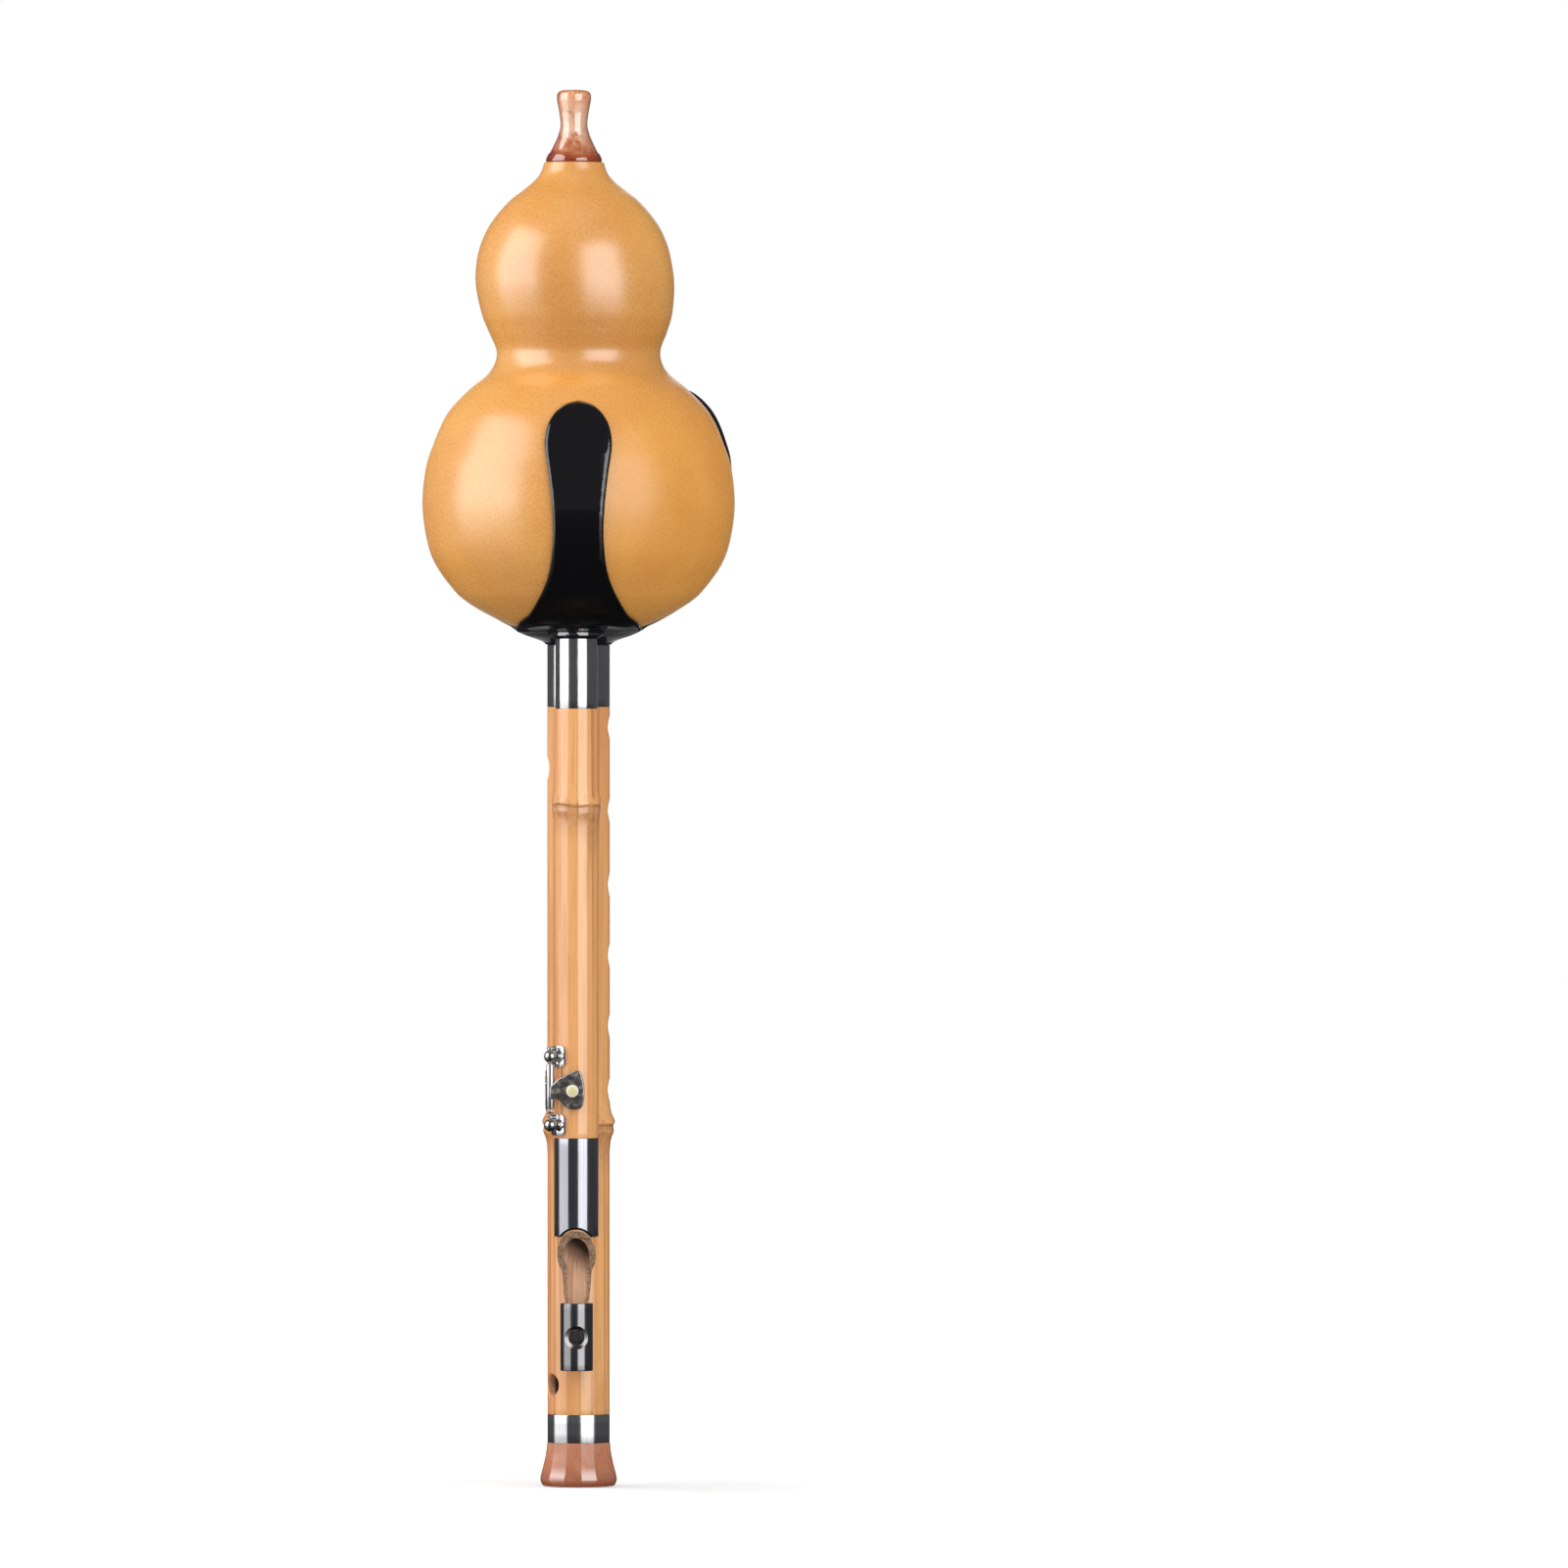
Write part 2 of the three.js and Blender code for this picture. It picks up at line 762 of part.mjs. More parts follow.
function dronePipe(extraCutters) {
  const capped = tenonRadiusUnderCap(droneFerruleRadius);
  const nodeHeight = droneBareTop - droneNodeBelowFerrule;
  const tongueEnd = tailTop - tongueDepth;
  const top = droneBareTop + droneTenonLength;
  const tube = turned(
    [
      [droneBoreRadius, tongueEnd],
      [quillRadius, tongueEnd],
      [quillRadius, sleeveTop],
      [droneRadius, sleeveTop],
      ...nodeProfile(droneRadius, droneNodeRadius, nodeHeight, droneNodeReach),
      [droneRadius, droneBareTop],
      [capped, droneBareTop],
      [capped, top],
      [droneBoreRadius, top],
      [droneBoreRadius, tongueEnd],
    ],
    droneSteps,
  );
  const screwHole = outward(
    rod(tailScrewRadius + fitGap, 0, quillRadius + overrun),
    Math.PI,
    tailScrewHeight,
  );
  return cut(tube, scoopCutter(), screwHole, ...extraCutters);
}

function droneSleeve() {
  const inner = sleeveRadius - capWall;
  return cut(sleeve(sleeveRadius, inner, sleeveBottom, sleeveTop, droneSteps), scoopCutter());
}

// The tube that holds the quill's tongue, with a saddle that bears on the melody pipe
function tailTube() {
  const barrel = turned(
    [
      [tailBoreRadius, tailBottom],
      [tailRadius - tailChamfer, tailBottom],
      [tailRadius, tailBottom + tailChamfer],
      [tailRadius, tailTop - tailChamfer],
      [tailRadius - tailChamfer, tailTop],
      [tailBoreRadius, tailTop],
      [tailBoreRadius, tailBottom],
    ],
    droneSteps,
  ).translate(0, tailOffset, 0);
  const saddleStart = tailOffset + tailRadius - capWall / 2;
  const saddleShape = roundedBox(tailSaddleHalfWidth, tailSaddleHalfHeight, tailSaddleHalfWidth / 2);
  const saddle = facing(saddleShape, saddleStart, droneSpacing - saddleStart, Math.PI)
    .translate(0, 0, tailScrewHeight);
  const pipe = rod(mainRadius + fitGap, tailBottom, tailTop, pipeSteps).translate(0, droneSpacing, 0);
  const backHole = outward(rod(tailScrewRadius + runningGap, 0, droneSpacing), Math.PI, tailScrewHeight);
  const surface = tailRadius - tailOffset;
  const access = turned(
    [
      [0, -tailOffset],
      [tailAccessRadius, -tailOffset],
      [tailAccessRadius, surface - tailAccessBevel],
      [tailAccessRadius + tailAccessBevel, surface + runningGap],
      [tailAccessRadius + tailAccessBevel, surface + overrun],
      [0, surface + overrun],
    ],
    smallSteps,
  );
  return cut(joined(barrel, cut(saddle, pipe)), backHole, outward(access, 0, tailScrewHeight));
}

// Its head clamps the tongue, and its shank ends in the melody pipe's wall
function tailScrew() {
  const under = fitGap - tonguePlane; // outward distance of the head's under side
  const tip = mainRadius - droneSpacing - tailScrewBite;
  const screw = turned(
    [
      [0, tip],
      [tailScrewRadius, tip],
      [tailScrewRadius, under],
      [tailScrewHeadRadius, under],
      [tailScrewHeadRadius, under + tailScrewHeadHeight],
      [0, under + tailScrewHeadHeight],
    ],
    smallSteps,
  );
  const socketFloor = under + tailScrewHeadHeight - tailScrewSocketDepth;
  const socketTop = under + tailScrewHeadHeight + overrun;
  const socket = rod(tailScrewSocketRadius, socketFloor, socketTop, tailScrewSocketSides);
  return cut(outward(screw, 0, tailScrewHeight), outward(socket, 0, tailScrewHeight));
}

// Key of the near drone, about that drone's axis

const postHeights = [keyHeight + postOffset, keyHeight - postOffset];

function keyPost(height) {
  const shell = sleeve(
    droneRadius + fitGap + saddleThickness,
    droneRadius + fitGap,
    height - saddleHalfHeight - overrun,
    height + saddleHalfHeight + overrun,
    droneSteps,
  );
  const outline = roundedBox(saddleHalfWidth, saddleHalfHeight, saddleCorner);
  const window = facing(outline, 0, hingeRadius, postAzimuth).translate(0, 0, height);
  const stemStart = droneRadius + fitGap * 2;
  const stem = turned(
    [
      [0, stemStart],
      [postFootRadius, stemStart],
      [postFootRadius, stemStart + saddleThickness],
      [postStemRadius, stemStart + postFootHeight],
      [postStemRadius, hingeRadius],
      [0, hingeRadius],
    ],
    smallSteps,
  );
  const ball = new THREE.SphereGeometry(postBallRadius, smallSteps, smallSteps / 2)
    .rotateX(Math.PI / 2)
    .translate(hingeX, hingeY, height);
  const boreReach = postBallRadius + overrun;
  const bore = rod(axleRadius + runningGap, height - boreReach, height + boreReach)
    .translate(hingeX, hingeY, 0);
  const screwHole = rod(postScrewRadius + runningGap, 0, hingeRadius);
  return cut(
    joined(common(shell, window), outward(stem, postAzimuth, height), ball),
    bore,
    outward(screwHole, postScrewAzimuth, height),
  );
}

function postScrew(height) {
  const seat = droneRadius + fitGap + saddleThickness + runningGap;
  const tip = droneRadius - postScrewBite;
  const profile = [
    [0, tip],
    [postScrewRadius, tip],
    [postScrewRadius, seat],
    [postScrewHeadRadius, seat],
    [postScrewHeadRadius, seat + postScrewHeadHeight / 2],
    [postScrewCrownRadius, seat + postScrewHeadHeight],
    [0, seat + postScrewHeadHeight],
  ];
  return outward(turned(profile, smallSteps), postScrewAzimuth, height);
}

// The rod that the key turns on, held by both posts
function keyAxle() {
  const low = keyHeight - postOffset - postBallRadius;
  const high = keyHeight + postOffset + postBallRadius + runningGap;
  const profile = [
    [0, low],
    [axleRadius, low],
    [axleRadius, high],
    [axleHeadRadius, high],
    [axleHeadRadius, high + axleHeadHeight],
    [0, high + axleHeadHeight],
  ];
  return turned(profile, smallSteps).translate(hingeX, hingeY, 0);
}

function cupPlate() {
  const outline = cupShares.map(([x, y]) => [cupWidth * x, cupHeight * y]);
  const plate = facing(new THREE.Shape(vectors(outline)), cupFace, cupThickness, cupAzimuth);
  return plate.translate(0, 0, keyHeight);
}

// The thumb's plate: bowed along -X, reaching back beside the drone
function keyTouch() {
  const line = new THREE.SplineCurve(
    vectors(touchPlanShares.map(([bow, reach]) => [-touchBow * bow, touchReach * reach])),
  );
  const inner = [];
  const outer = [];
  for (let i = 0; i <= smallSteps / 2; i += 1) {
    const share = i / (smallSteps / 2);
    const point = line.getPoint(share);
    const along = line.getTangent(share);
    const across = new THREE.Vector2(along.y, -along.x).multiplyScalar(touchThickness / 2);
    inner.push(point.clone().add(across));
    outer.push(point.clone().sub(across));
  }
  const strip = upward(new THREE.Shape([...inner, ...outer.reverse()]), -touchHalfHeight, touchHalfHeight);
  const half = smooth(
    touchSideShares.map(([reach, rise]) => [touchReach * reach, touchHalfHeight * rise]),
    smallSteps,
  ).map((p) => new THREE.Vector2(p.x, Math.max(p.y, 0)));
  const back = half.slice(0, -1).reverse();
  const side = new THREE.Shape([...half, ...back.map((p) => new THREE.Vector2(p.x, -p.y))]);
  return common(strip, sideways(side, touchReach)).translate(hingeX, hingeY, keyHeight);
}

// Hinge tube, cup, arm and touch, brazed together
function keyLever() {
  const low = keyHeight - keyTubeLow;
  const high = keyHeight + keyTubeHigh;
  const tube = rod(keyTubeRadius, low, high).translate(hingeX, hingeY, 0);
  const bore = rod(axleRadius + runningGap, low - overrun, high + overrun).translate(hingeX, hingeY, 0);
  const padRecess = rod(padRadius + fitGap, 0, padFace + padThickness + fitGap);
  const buttonSeat = rod(
    buttonRadius + fitGap,
    cupFace + cupThickness - buttonRecess,
    cupFace + cupThickness + overrun,
  );
  return cut(
    joined(tube, cupPlate(), keyTouch()),
    bore,
    outward(padRecess, cupAzimuth, keyHeight),
    outward(buttonSeat, cupAzimuth, keyHeight),
  );
}

function keyPad() {
  return outward(rod(padRadius, padFace, padFace + padThickness, smallSteps), cupAzimuth, keyHeight);
}

function keyButton() {
  const seat = cupFace + cupThickness - buttonRecess + runningGap;
  const profile = [
    [0, seat],
    [buttonRadius, seat],
    [buttonRadius, seat + buttonThickness - buttonStep],
    [buttonStepRadius, seat + buttonThickness - buttonStep],
    [buttonStepRadius, seat + buttonThickness],
    [0, seat + buttonThickness],
  ];
  return outward(turned(profile, smallSteps), cupAzimuth, keyHeight);
}

// A wound wire spring round the rod: its lower leg bears on the post's saddle, its upper leg on the touch
function keySpring() {
  const low = keyHeight - postOffset + postBallRadius + springLift;
  const steps = springTurns * springStepsPerTurn;
  const points = [new THREE.Vector3(springFootReach, springFootDrift, low)];
  for (let i = 0; i <= steps; i += 1) {
    const turns = i / springStepsPerTurn;
    const angle = -Math.PI / 2 - turns * Math.PI * 2;
    points.push(
      new THREE.Vector3(
        Math.cos(angle) * springRadius,
        Math.sin(angle) * springRadius,
        low + springPitch * turns,
      ),
    );
  }
  const legX = touchThickness / 2 + springWireRadius + fitGap - touchBow;
  const legRise = keyHeight - touchHalfHeight * springLegShare;
  for (const share of springLegShares) {
    points.push(new THREE.Vector3(legX, touchReach * share, legRise));
  }
  const section = new THREE.Shape();
  section.absarc(0, 0, springWireRadius, 0, Math.PI * 2);
  return new THREE.ExtrudeGeometry(section, {
    steps: points.length,
    extrudePath: new THREE.CatmullRomCurve3(points, false, "centripetal"),
    bevelEnabled: false,
    curveSegments: springSides / 2,
  }).translate(hingeX, hingeY, 0);
}

// What the key needs cut into the drone's bamboo: a faced seat, the tone hole and the posts' screw holes
function keyCutters() {
  const seat = facing(
    roundedBox(seatFlatHalf, seatFlatHalf, seatFlatHalf / 2),
    droneRadius - seatFlatDepth,
    seatFlatDepth + overrun,
    cupAzimuth,
  ).translate(0, 0, keyHeight);
  const hole = outward(rod(toneHoleRadius, 0, droneRadius + overrun), cupAzimuth, keyHeight);
  const screws = postHeights.map((height) => {
    const tip = droneRadius - postScrewBite - runningGap;
    return outward(rod(postScrewRadius + runningGap, tip, droneRadius + overrun), postScrewAzimuth, height);
  });
  return [seat, hole, ...screws];
}

// Windchest

const aboveWaist = (rise) => THREE.MathUtils.lerp(waistHeight, gourdHeight, rise);
const gourdCurve = new THREE.SplineCurve(
  vectors([
    ...bellyShares.map(([rise, out]) => [lowerLobeRadius * out, waistHeight * rise]),
    ...shoulderShares.map(([rise, out]) => [
      THREE.MathUtils.lerp(waistRadius, lowerLobeRadius, out),
      waistHeight * rise,
    ]),
    [waistRadius, waistHeight],
    ...upperBellyShares.map(([rise, out]) => [
      THREE.MathUtils.lerp(waistRadius, upperLobeRadius, out),
      aboveWaist(rise),
    ]),
    ...crownShares.map(([rise, out]) => [upperLobeRadius * out, aboveWaist(rise)]),
  ]),
);

// The gourd's outline moved out by a distance, turned into a solid and leant over above the waist
function gourdForm(distance, steps, stride = 1) {
  const rows = gourdCurve.points.length - 1;
  const profile = [];
  for (let i = 0; i <= rows; i += stride) {
    const point = gourdCurve.getPoint(i / rows);
    const along = gourdCurve.getTangent(i / rows);
    const radius = i === 0 ? 0 : point.x + along.y * distance;
    profile.push([radius, point.y - along.x * distance]);
  }
  profile.push([0, profile[profile.length - 1][1]]);
  return leant(turned(profile, steps));
}

function leanAt(height) {
  const share = THREE.MathUtils.smoothstep(height, waistHeight, waistHeight + leanHeight);
  return gourdLean * share;
}

function leant(geometry) {
  const places = geometry.getAttribute("position");
  for (let i = 0; i < places.count; i += 1) {
    places.setX(i, places.getX(i) + leanAt(places.getZ(i)));
  }
  return geometry;
}

function gourdShell() {
  const mouthFloor = gourdHeight - mouthTenonLength - fitGap * 2;
  const mouth = rod(mouthHoleRadius, mouthFloor, gourdHeight + overrun, droneSteps)
    .translate(gourdLean, 0, 0);
  const opening = upward(stadium(openingHalfWidth, openingHalfLength), -overrun, openingReach);
  const belowNeck = rod(lowerLobeRadius, 0, gourdHeight - neckDepth);
  const cavity = common(gourdForm(-gourdWall, cavitySteps, 2), belowNeck);
  return cut(gourdForm(0, gourdSteps), cavity, mouth, opening);
}

// Rings of equal length, one above the other, closed with flat ends
function lofted(rings) {
  const count = rings[0].length;
  const places = [];
  const faces = [];
  for (const ring of rings) for (const p of ring) places.push(p.x, p.y, p.z);
  for (let row = 0; row < rings.length - 1; row += 1) {
    for (let i = 0; i < count; i += 1) {
      const next = (i + 1) % count;
      const [a, b] = [row * count + i, row * count + next];
      faces.push(a, b, b + count, a, b + count, a + count);
    }
  }
  const top = (rings.length - 1) * count;
  for (let i = 1; i < count - 1; i += 1) {
    faces.push(0, i + 1, i);
    faces.push(top, top + i, top + i + 1);
  }
  const geometry = new THREE.BufferGeometry();
  geometry.setAttribute("position", new THREE.Float32BufferAttribute(places, 3));
  geometry.setIndex(faces);
  return geometry;
}

// The part of the base that carries the drones' sockets, flaring from its lower face to the gourd
function boat() {
  const halfLength = openingHalfLength + rimLap;
  const rings = boatShares.map(([rise, width, length]) => {
    const outline = stadium(boatHalfWidth * width, halfLength * length).getPoints(smallSteps / 2);
    const distinct = outline.filter((p, i) => i === 0 || p.distanceTo(outline[i - 1]) > mergeDistance);
    if (distinct[0].distanceTo(distinct[distinct.length - 1]) < mergeDistance) distinct.pop();
    return distinct.map((p) => new THREE.Vector3(p.x, p.y, hubStep + boatHeight * rise));
  });
  return lofted(rings);
}

function clawShape(height, spreadShare) {
  const root = clawRootShares.map(([rise, width]) => [
    rise,
    THREE.MathUtils.lerp(clawWaistShare, width, spreadShare),
  ]);
  const points = smooth(
    [...root, ...clawTipShares].map(([rise, width]) => [width * clawHalfWidth, clawRoot + rise * height]),
    curveSteps,
  );
  return mirrored(points.map((p) => new THREE.Vector2(Math.max(p.x, 0), p.y)));
}

// A skin over the gourd, kept only inside the claws' outlines
function clawSkin() {
  const skin = gourdForm(fitGap + clawThickness, gourdSteps).translate(0, 0, baseFloor);
  const outlines = claws.map(({ azimuth, heightShare, spreadShare }) => {
    const outline = clawShape(waistHeight * heightShare, spreadShare);
    return facing(outline, bowlRadius / 2, lowerLobeRadius, azimuth);
  });
  return common(skin, joined(...outlines));
}

function gourdBase() {
  const gourd = gourdForm(fitGap, gourdSteps).translate(0, 0, baseFloor);
  const bowl = turned(
    [
      [0, 0],
      ...bowlShares.map(([rise, reach]) => [bowlRadius * reach, bowlDepth * rise]),
      [0, bowlDepth * bowlShares[bowlShares.length - 1][0]],
    ],
    gourdSteps,
  );
  const shell = cut(joined(bowl, boat(), clawSkin()), gourd);
  const plug = upward(
    stadium(openingHalfWidth - fitGap, openingHalfLength - fitGap),
    hubStep + fitGap,
    baseFloor + plugHeight,
  );
  const through = [-overrun, baseFloor + plugHeight + overrun];
  const middle = rod(socketRadiusOf(mainHead), ...through, pipeSteps);
  const sides = [-droneSpacing, droneSpacing].map((y) =>
    joined(
      rod(socketRadiusOf(droneHead), ...through, droneSteps),
      rod(droneHead.capRadius + fitGap, -overrun, hubStep, pipeSteps),
    ).translate(0, y, 0),
  );
  return cut(joined(shell, plug), middle, ...sides);
}

// Mouthpiece, from the gourd's top face

function mouthpiece() {
  const groove = mouthTenonRadius - corkGrooveDepth;
  const outside = smooth(
    mouthpieceShares.map(([rise, reach]) => [mouthpieceRadius * reach, mouthpieceHeight * rise]),
    smallSteps,
  ).map((p) => [p.x, Math.max(p.y, 0)]);
  const profile = [
    [mouthpieceBoreRadius, -mouthTenonLength],
    [mouthTenonRadius, -mouthTenonLength],
    [mouthTenonRadius, -mouthTenonLength + mouthCorkMargin],
    [groove, -mouthTenonLength + mouthCorkMargin],
    [groove, -mouthCorkMargin],
    [mouthTenonRadius, -mouthCorkMargin],
    [mouthTenonRadius, 0],
    ...outside,
    [mouthpieceBoreRadius, mouthpieceHeight],
    [mouthpieceBoreRadius, -mouthTenonLength],
  ];
  return turned(profile, droneSteps);
}

function mouthpieceCork() {
  const inner = mouthTenonRadius - corkGrooveDepth + fitGap;
  const outer = mouthTenonRadius + mouthCorkProud;
  const low = -mouthTenonLength + mouthCorkMargin + fitGap;
  return sleeve(outer, inner, low, -mouthCorkMargin - fitGap, droneSteps);
}

// Assembly

function headPieces(prefix, head, ferruleLength, seat, steps) {
  const group = new THREE.Group();
  group.position.z = seat;
  group.add(
    piece(`${prefix}_ferrule`, ferrule(head.capRadius, ferruleLength, steps), steel),
    piece(`${prefix}_reed_tube`, reedTube(head), tubeResin),
    piece(`${prefix}_tenon_cork`, tenonCork(head), cork),
    piece(`${prefix}_reed_plate`, reedPlate(head), brass),
    piece(`${prefix}_reed_plug`, reedPlug(head), cork),
  );
  return group;
}

function dronePieces(prefix, turn, extraCutters = []) {
  const about = new THREE.Group();
  const drone = new THREE.Group();
  about.rotation.z = turn;
  drone.position.y = -droneSpacing;
  drone.add(
    headPieces(prefix, droneHead, droneFerruleLength, droneSeat, droneSteps),
    piece(`${prefix}_pipe`, dronePipe(extraCutters), bamboo),
    piece(`${prefix}_sleeve`, droneSleeve(), steel),
    piece(`${prefix}_tail_tube`, tailTube(), steel),
    piece(`${prefix}_tail_screw`, tailScrew(), steel),
  );
  about.add(drone);
  return about;
}

function keyPieces() {
  const key = new THREE.Group();
  key.position.y = -droneSpacing;
  key.add(
    piece("key_upper_post", keyPost(postHeights[0]), keySilver),
    piece("key_lower_post", keyPost(postHeights[1]), keySilver),
    piece("key_upper_screw", postScrew(postHeights[0]), keySilver),
    piece("key_lower_screw", postScrew(postHeights[1]), keySilver),
    piece("key_axle", keyAxle(), steel),
    piece("key_lever", keyLever(), keySilver),
    piece("key_pad", keyPad(), padLeather),
    piece("key_button", keyButton(), buttonShell),
    piece("key_spring", keySpring(), steel),
  );
  return key;
}

const pipes = new THREE.Group();
pipes.add(
  piece("main_pipe", mainPipe(), bamboo),
  piece("foot_bell", footBell(), agate),
  piece("lower_ring", lowerRing(), steel),
  headPieces("main", mainHead, mainFerruleLength, baseBottom, pipeSteps),
  dronePieces("drone_a", 0, keyCutters()),
  dronePieces("drone_b", Math.PI),
  keyPieces(),
);

const windchest = new THREE.Group();
const gourdMesh = piece("gourd_shell", gourdShell(), gourdSkin);
gourdMesh.position.z = gourdBottom;
const baseMesh = piece("gourd_base", gourdBase(), blackResin);
baseMesh.position.z = baseBottom;
windchest.add(gourdMesh, baseMesh);

const mouth = new THREE.Group();
mouth.position.set(gourdLean, 0, gourdTop);
mouth.add(
  piece("mouthpiece", mouthpiece(), agate),
  piece("mouthpiece_cork", mouthpieceCork(), cork),
);

const hulusi = new THREE.Group();
hulusi.add(pipes, windchest, mouth);
export default hulusi;
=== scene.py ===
import math

import bmesh
import bpy
import numpy as np
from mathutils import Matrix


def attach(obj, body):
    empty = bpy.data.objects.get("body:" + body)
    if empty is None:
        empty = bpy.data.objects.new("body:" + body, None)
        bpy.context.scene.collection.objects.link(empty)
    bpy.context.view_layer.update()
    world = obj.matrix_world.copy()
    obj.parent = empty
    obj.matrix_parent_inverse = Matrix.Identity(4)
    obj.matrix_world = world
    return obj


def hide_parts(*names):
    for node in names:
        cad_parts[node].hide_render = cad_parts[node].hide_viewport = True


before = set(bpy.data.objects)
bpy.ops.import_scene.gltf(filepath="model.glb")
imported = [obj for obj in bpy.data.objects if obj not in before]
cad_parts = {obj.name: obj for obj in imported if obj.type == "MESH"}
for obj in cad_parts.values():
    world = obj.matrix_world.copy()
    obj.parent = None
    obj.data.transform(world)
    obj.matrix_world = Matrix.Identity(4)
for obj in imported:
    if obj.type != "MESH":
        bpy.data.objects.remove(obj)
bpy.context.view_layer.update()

import openvdb
from mathutils import Vector

MM = 0.001  # the sizes below are in millimetres

# Heights and radii of the pipes
FOOT_TOP, RING_TOP, BARE_TOP, BASE_BOTTOM = 14, 23.1, 248.6, 268.3
MAIN_RADIUS, MAIN_BORE, MAIN_UNDER_CAP, MAIN_IN_CAP = 10, 7.5, 9.1, 13.4
MAIN_NODE, MAIN_NODE_RADIUS, MAIN_NODE_REACH, MAIN_NODE_GROOVE = 115, 11.7, 7.2, 0.25
DRONE_SPACING = 19.2
DRONE_SEAT, DRONE_BARE_TOP, SLEEVE_TOP, SLEEVE_BOTTOM = 270.3, 248, 111.6, 80.3
DRONE_RADIUS, DRONE_BORE, DRONE_UNDER_CAP, DRONE_IN_CAP = 7.1, 4.1, 5.8, 14
DRONE_NODE, DRONE_NODE_RADIUS, DRONE_NODE_REACH, DRONE_NODE_GROOVE = 217, 7.95, 6.5, 0.15
FERRULE_RADIUS, SLEEVE_RADIUS, QUILL_RADIUS, CAP_WALL = 6.7, 7.05, 6.15, 0.6

# Shares of a node's swell and reach, from below
NODE_SHARES = [
    (0, -1.3), (0.08, -0.9), (0.28, -0.6), (0.6, -0.4), (0.8, -0.26), (0.72, -0.08), (1, 0.14), (0.8, 0.3),
    (0.4, 0.5), (0.1, 0.85), (0, 1.25),
]

# Quill: the scooping cut, the tongue under it and the channel down the tongue
SCOOP_TOP, SCOOP_LENGTH = 82.3, 17.3
SCOOP_SHARES = [
    (-1.5, -0.2), (-1, 0), (-0.645, 0.156), (-0.24, 0.353), (0, 0.46), (0.38, 0.63), (0.61, 0.76), (0.7, 1),
    (0.755, 1.25),
]
TONGUE_PLANE, TONGUE_END, TONGUE_TOP = 5.15, 41, SCOOP_TOP - SCOOP_LENGTH
CHANNEL_RADIUS, CHANNEL_OFFSET = 3.2, 2.2

# Tail tube: its saddle, the countersunk boss round its screw, and the screw
TAIL_TOP, TAIL_BOTTOM, TAIL_RADIUS, TAIL_OFFSET = 59, 37.5, 5.2, 2.47
SADDLE_HALF_WIDTH, SADDLE_HALF_HEIGHT, SADDLE_CORNER, SADDLE_CLEARANCE = 2.5, 5, 1.25, 0.3
BOSS_RADIUS, BOSS_DEPTH = 4.15, 3.4
SINK_RADIUS, SINK_MOUTH, SINK_DEPTH, SINK_RIM = 2.6, 3.75, 2.7, 2.1
TAIL_SCREW, TAIL_SCREW_RADIUS, TAIL_SCREW_HOLE, TAIL_SCREW_LOOSE = 48.1, 1.25, 1.35, 1.55
TAIL_HEAD_RADIUS, TAIL_HEAD_HEIGHT, TAIL_HEX_RADIUS = 2.1, 1.8, 1.1


def hole_height(share):
    """The height of a hole, from its share of the melody pipe's bare length."""
    return RING_TOP + (BARE_TOP - RING_TOP) * share


# Holes of the melody pipe
FINGER_HEIGHTS = [hole_height(share) for share in (0.9716, 0.8537, 0.7486, 0.6488, 0.549, 0.459)]
THUMB_HEIGHT, LOWER_HEIGHT = hole_height(0.913), hole_height(0.0417)
FINGER_RADIUS, FINGER_EASE, LOWER_RADIUS, LOWER_EASE = 3.4, 0.7, 3.3, 0.8
LOWER_AZIMUTH = math.radians(-59)

# Foot
FOOT_SIDE = [
    (11.05, 0.1), (11.7, 0.7), (12.15, 1.8), (12.2, 2.8), (11.95, 4.2), (11.2, 7.2), (10.5, 10.5),
    (10.1, FOOT_TOP),
]
FOOT_RIM, FOOT_MOUTH, FOOT_WAIST = 10.8, 8.6, (6.1, 7)
FOOT_BORE, FOOT_SPIGOT, FOOT_SPIGOT_TOP = 5.6, 7.2, 21.5

# Windchest
GOURD_BOTTOM, GOURD_HEIGHT, WAIST_HEIGHT = 271.5, 150.6, 89.9
GOURD_TOP, UPPER_HEIGHT = GOURD_BOTTOM + GOURD_HEIGHT, GOURD_HEIGHT - WAIST_HEIGHT
LOBE_RADIUS, WAIST_RADIUS, UPPER_RADIUS = 49.8, 26.1, 31.7
GOURD_LEAN, LEAN_HEIGHT, GOURD_WALL = -1.45, 32, 4
LOWER_LOBE = [
    (0, 0), (0.0056, 0.241), (0.0334, 0.43), (0.0756, 0.592), (0.1168, 0.715), (0.159, 0.799), (0.2436, 0.91),
    (0.328, 0.968), (0.456, 1), (0.581, 0.982), (0.665, 0.938), (0.781, 0.845), (0.865, 0.711), (0.932, 0.57),
]
UPPER_LOBE = [
    (0.112, 0.899), (0.2076, 0.96), (0.362, 1), (0.504, 0.973), (0.611, 0.909), (0.702, 0.81), (0.799, 0.65),
    (0.858, 0.508), (0.908, 0.393), (0.949, 0.334), (1, 0.3),
]
MOUTH_HOLE_RADIUS, MOUTH_HOLE_DEPTH = 5.9, 12.1
OPENING_HALF_WIDTH, OPENING_HALF_LENGTH, OPENING_TOP = 10.2, 27, 16

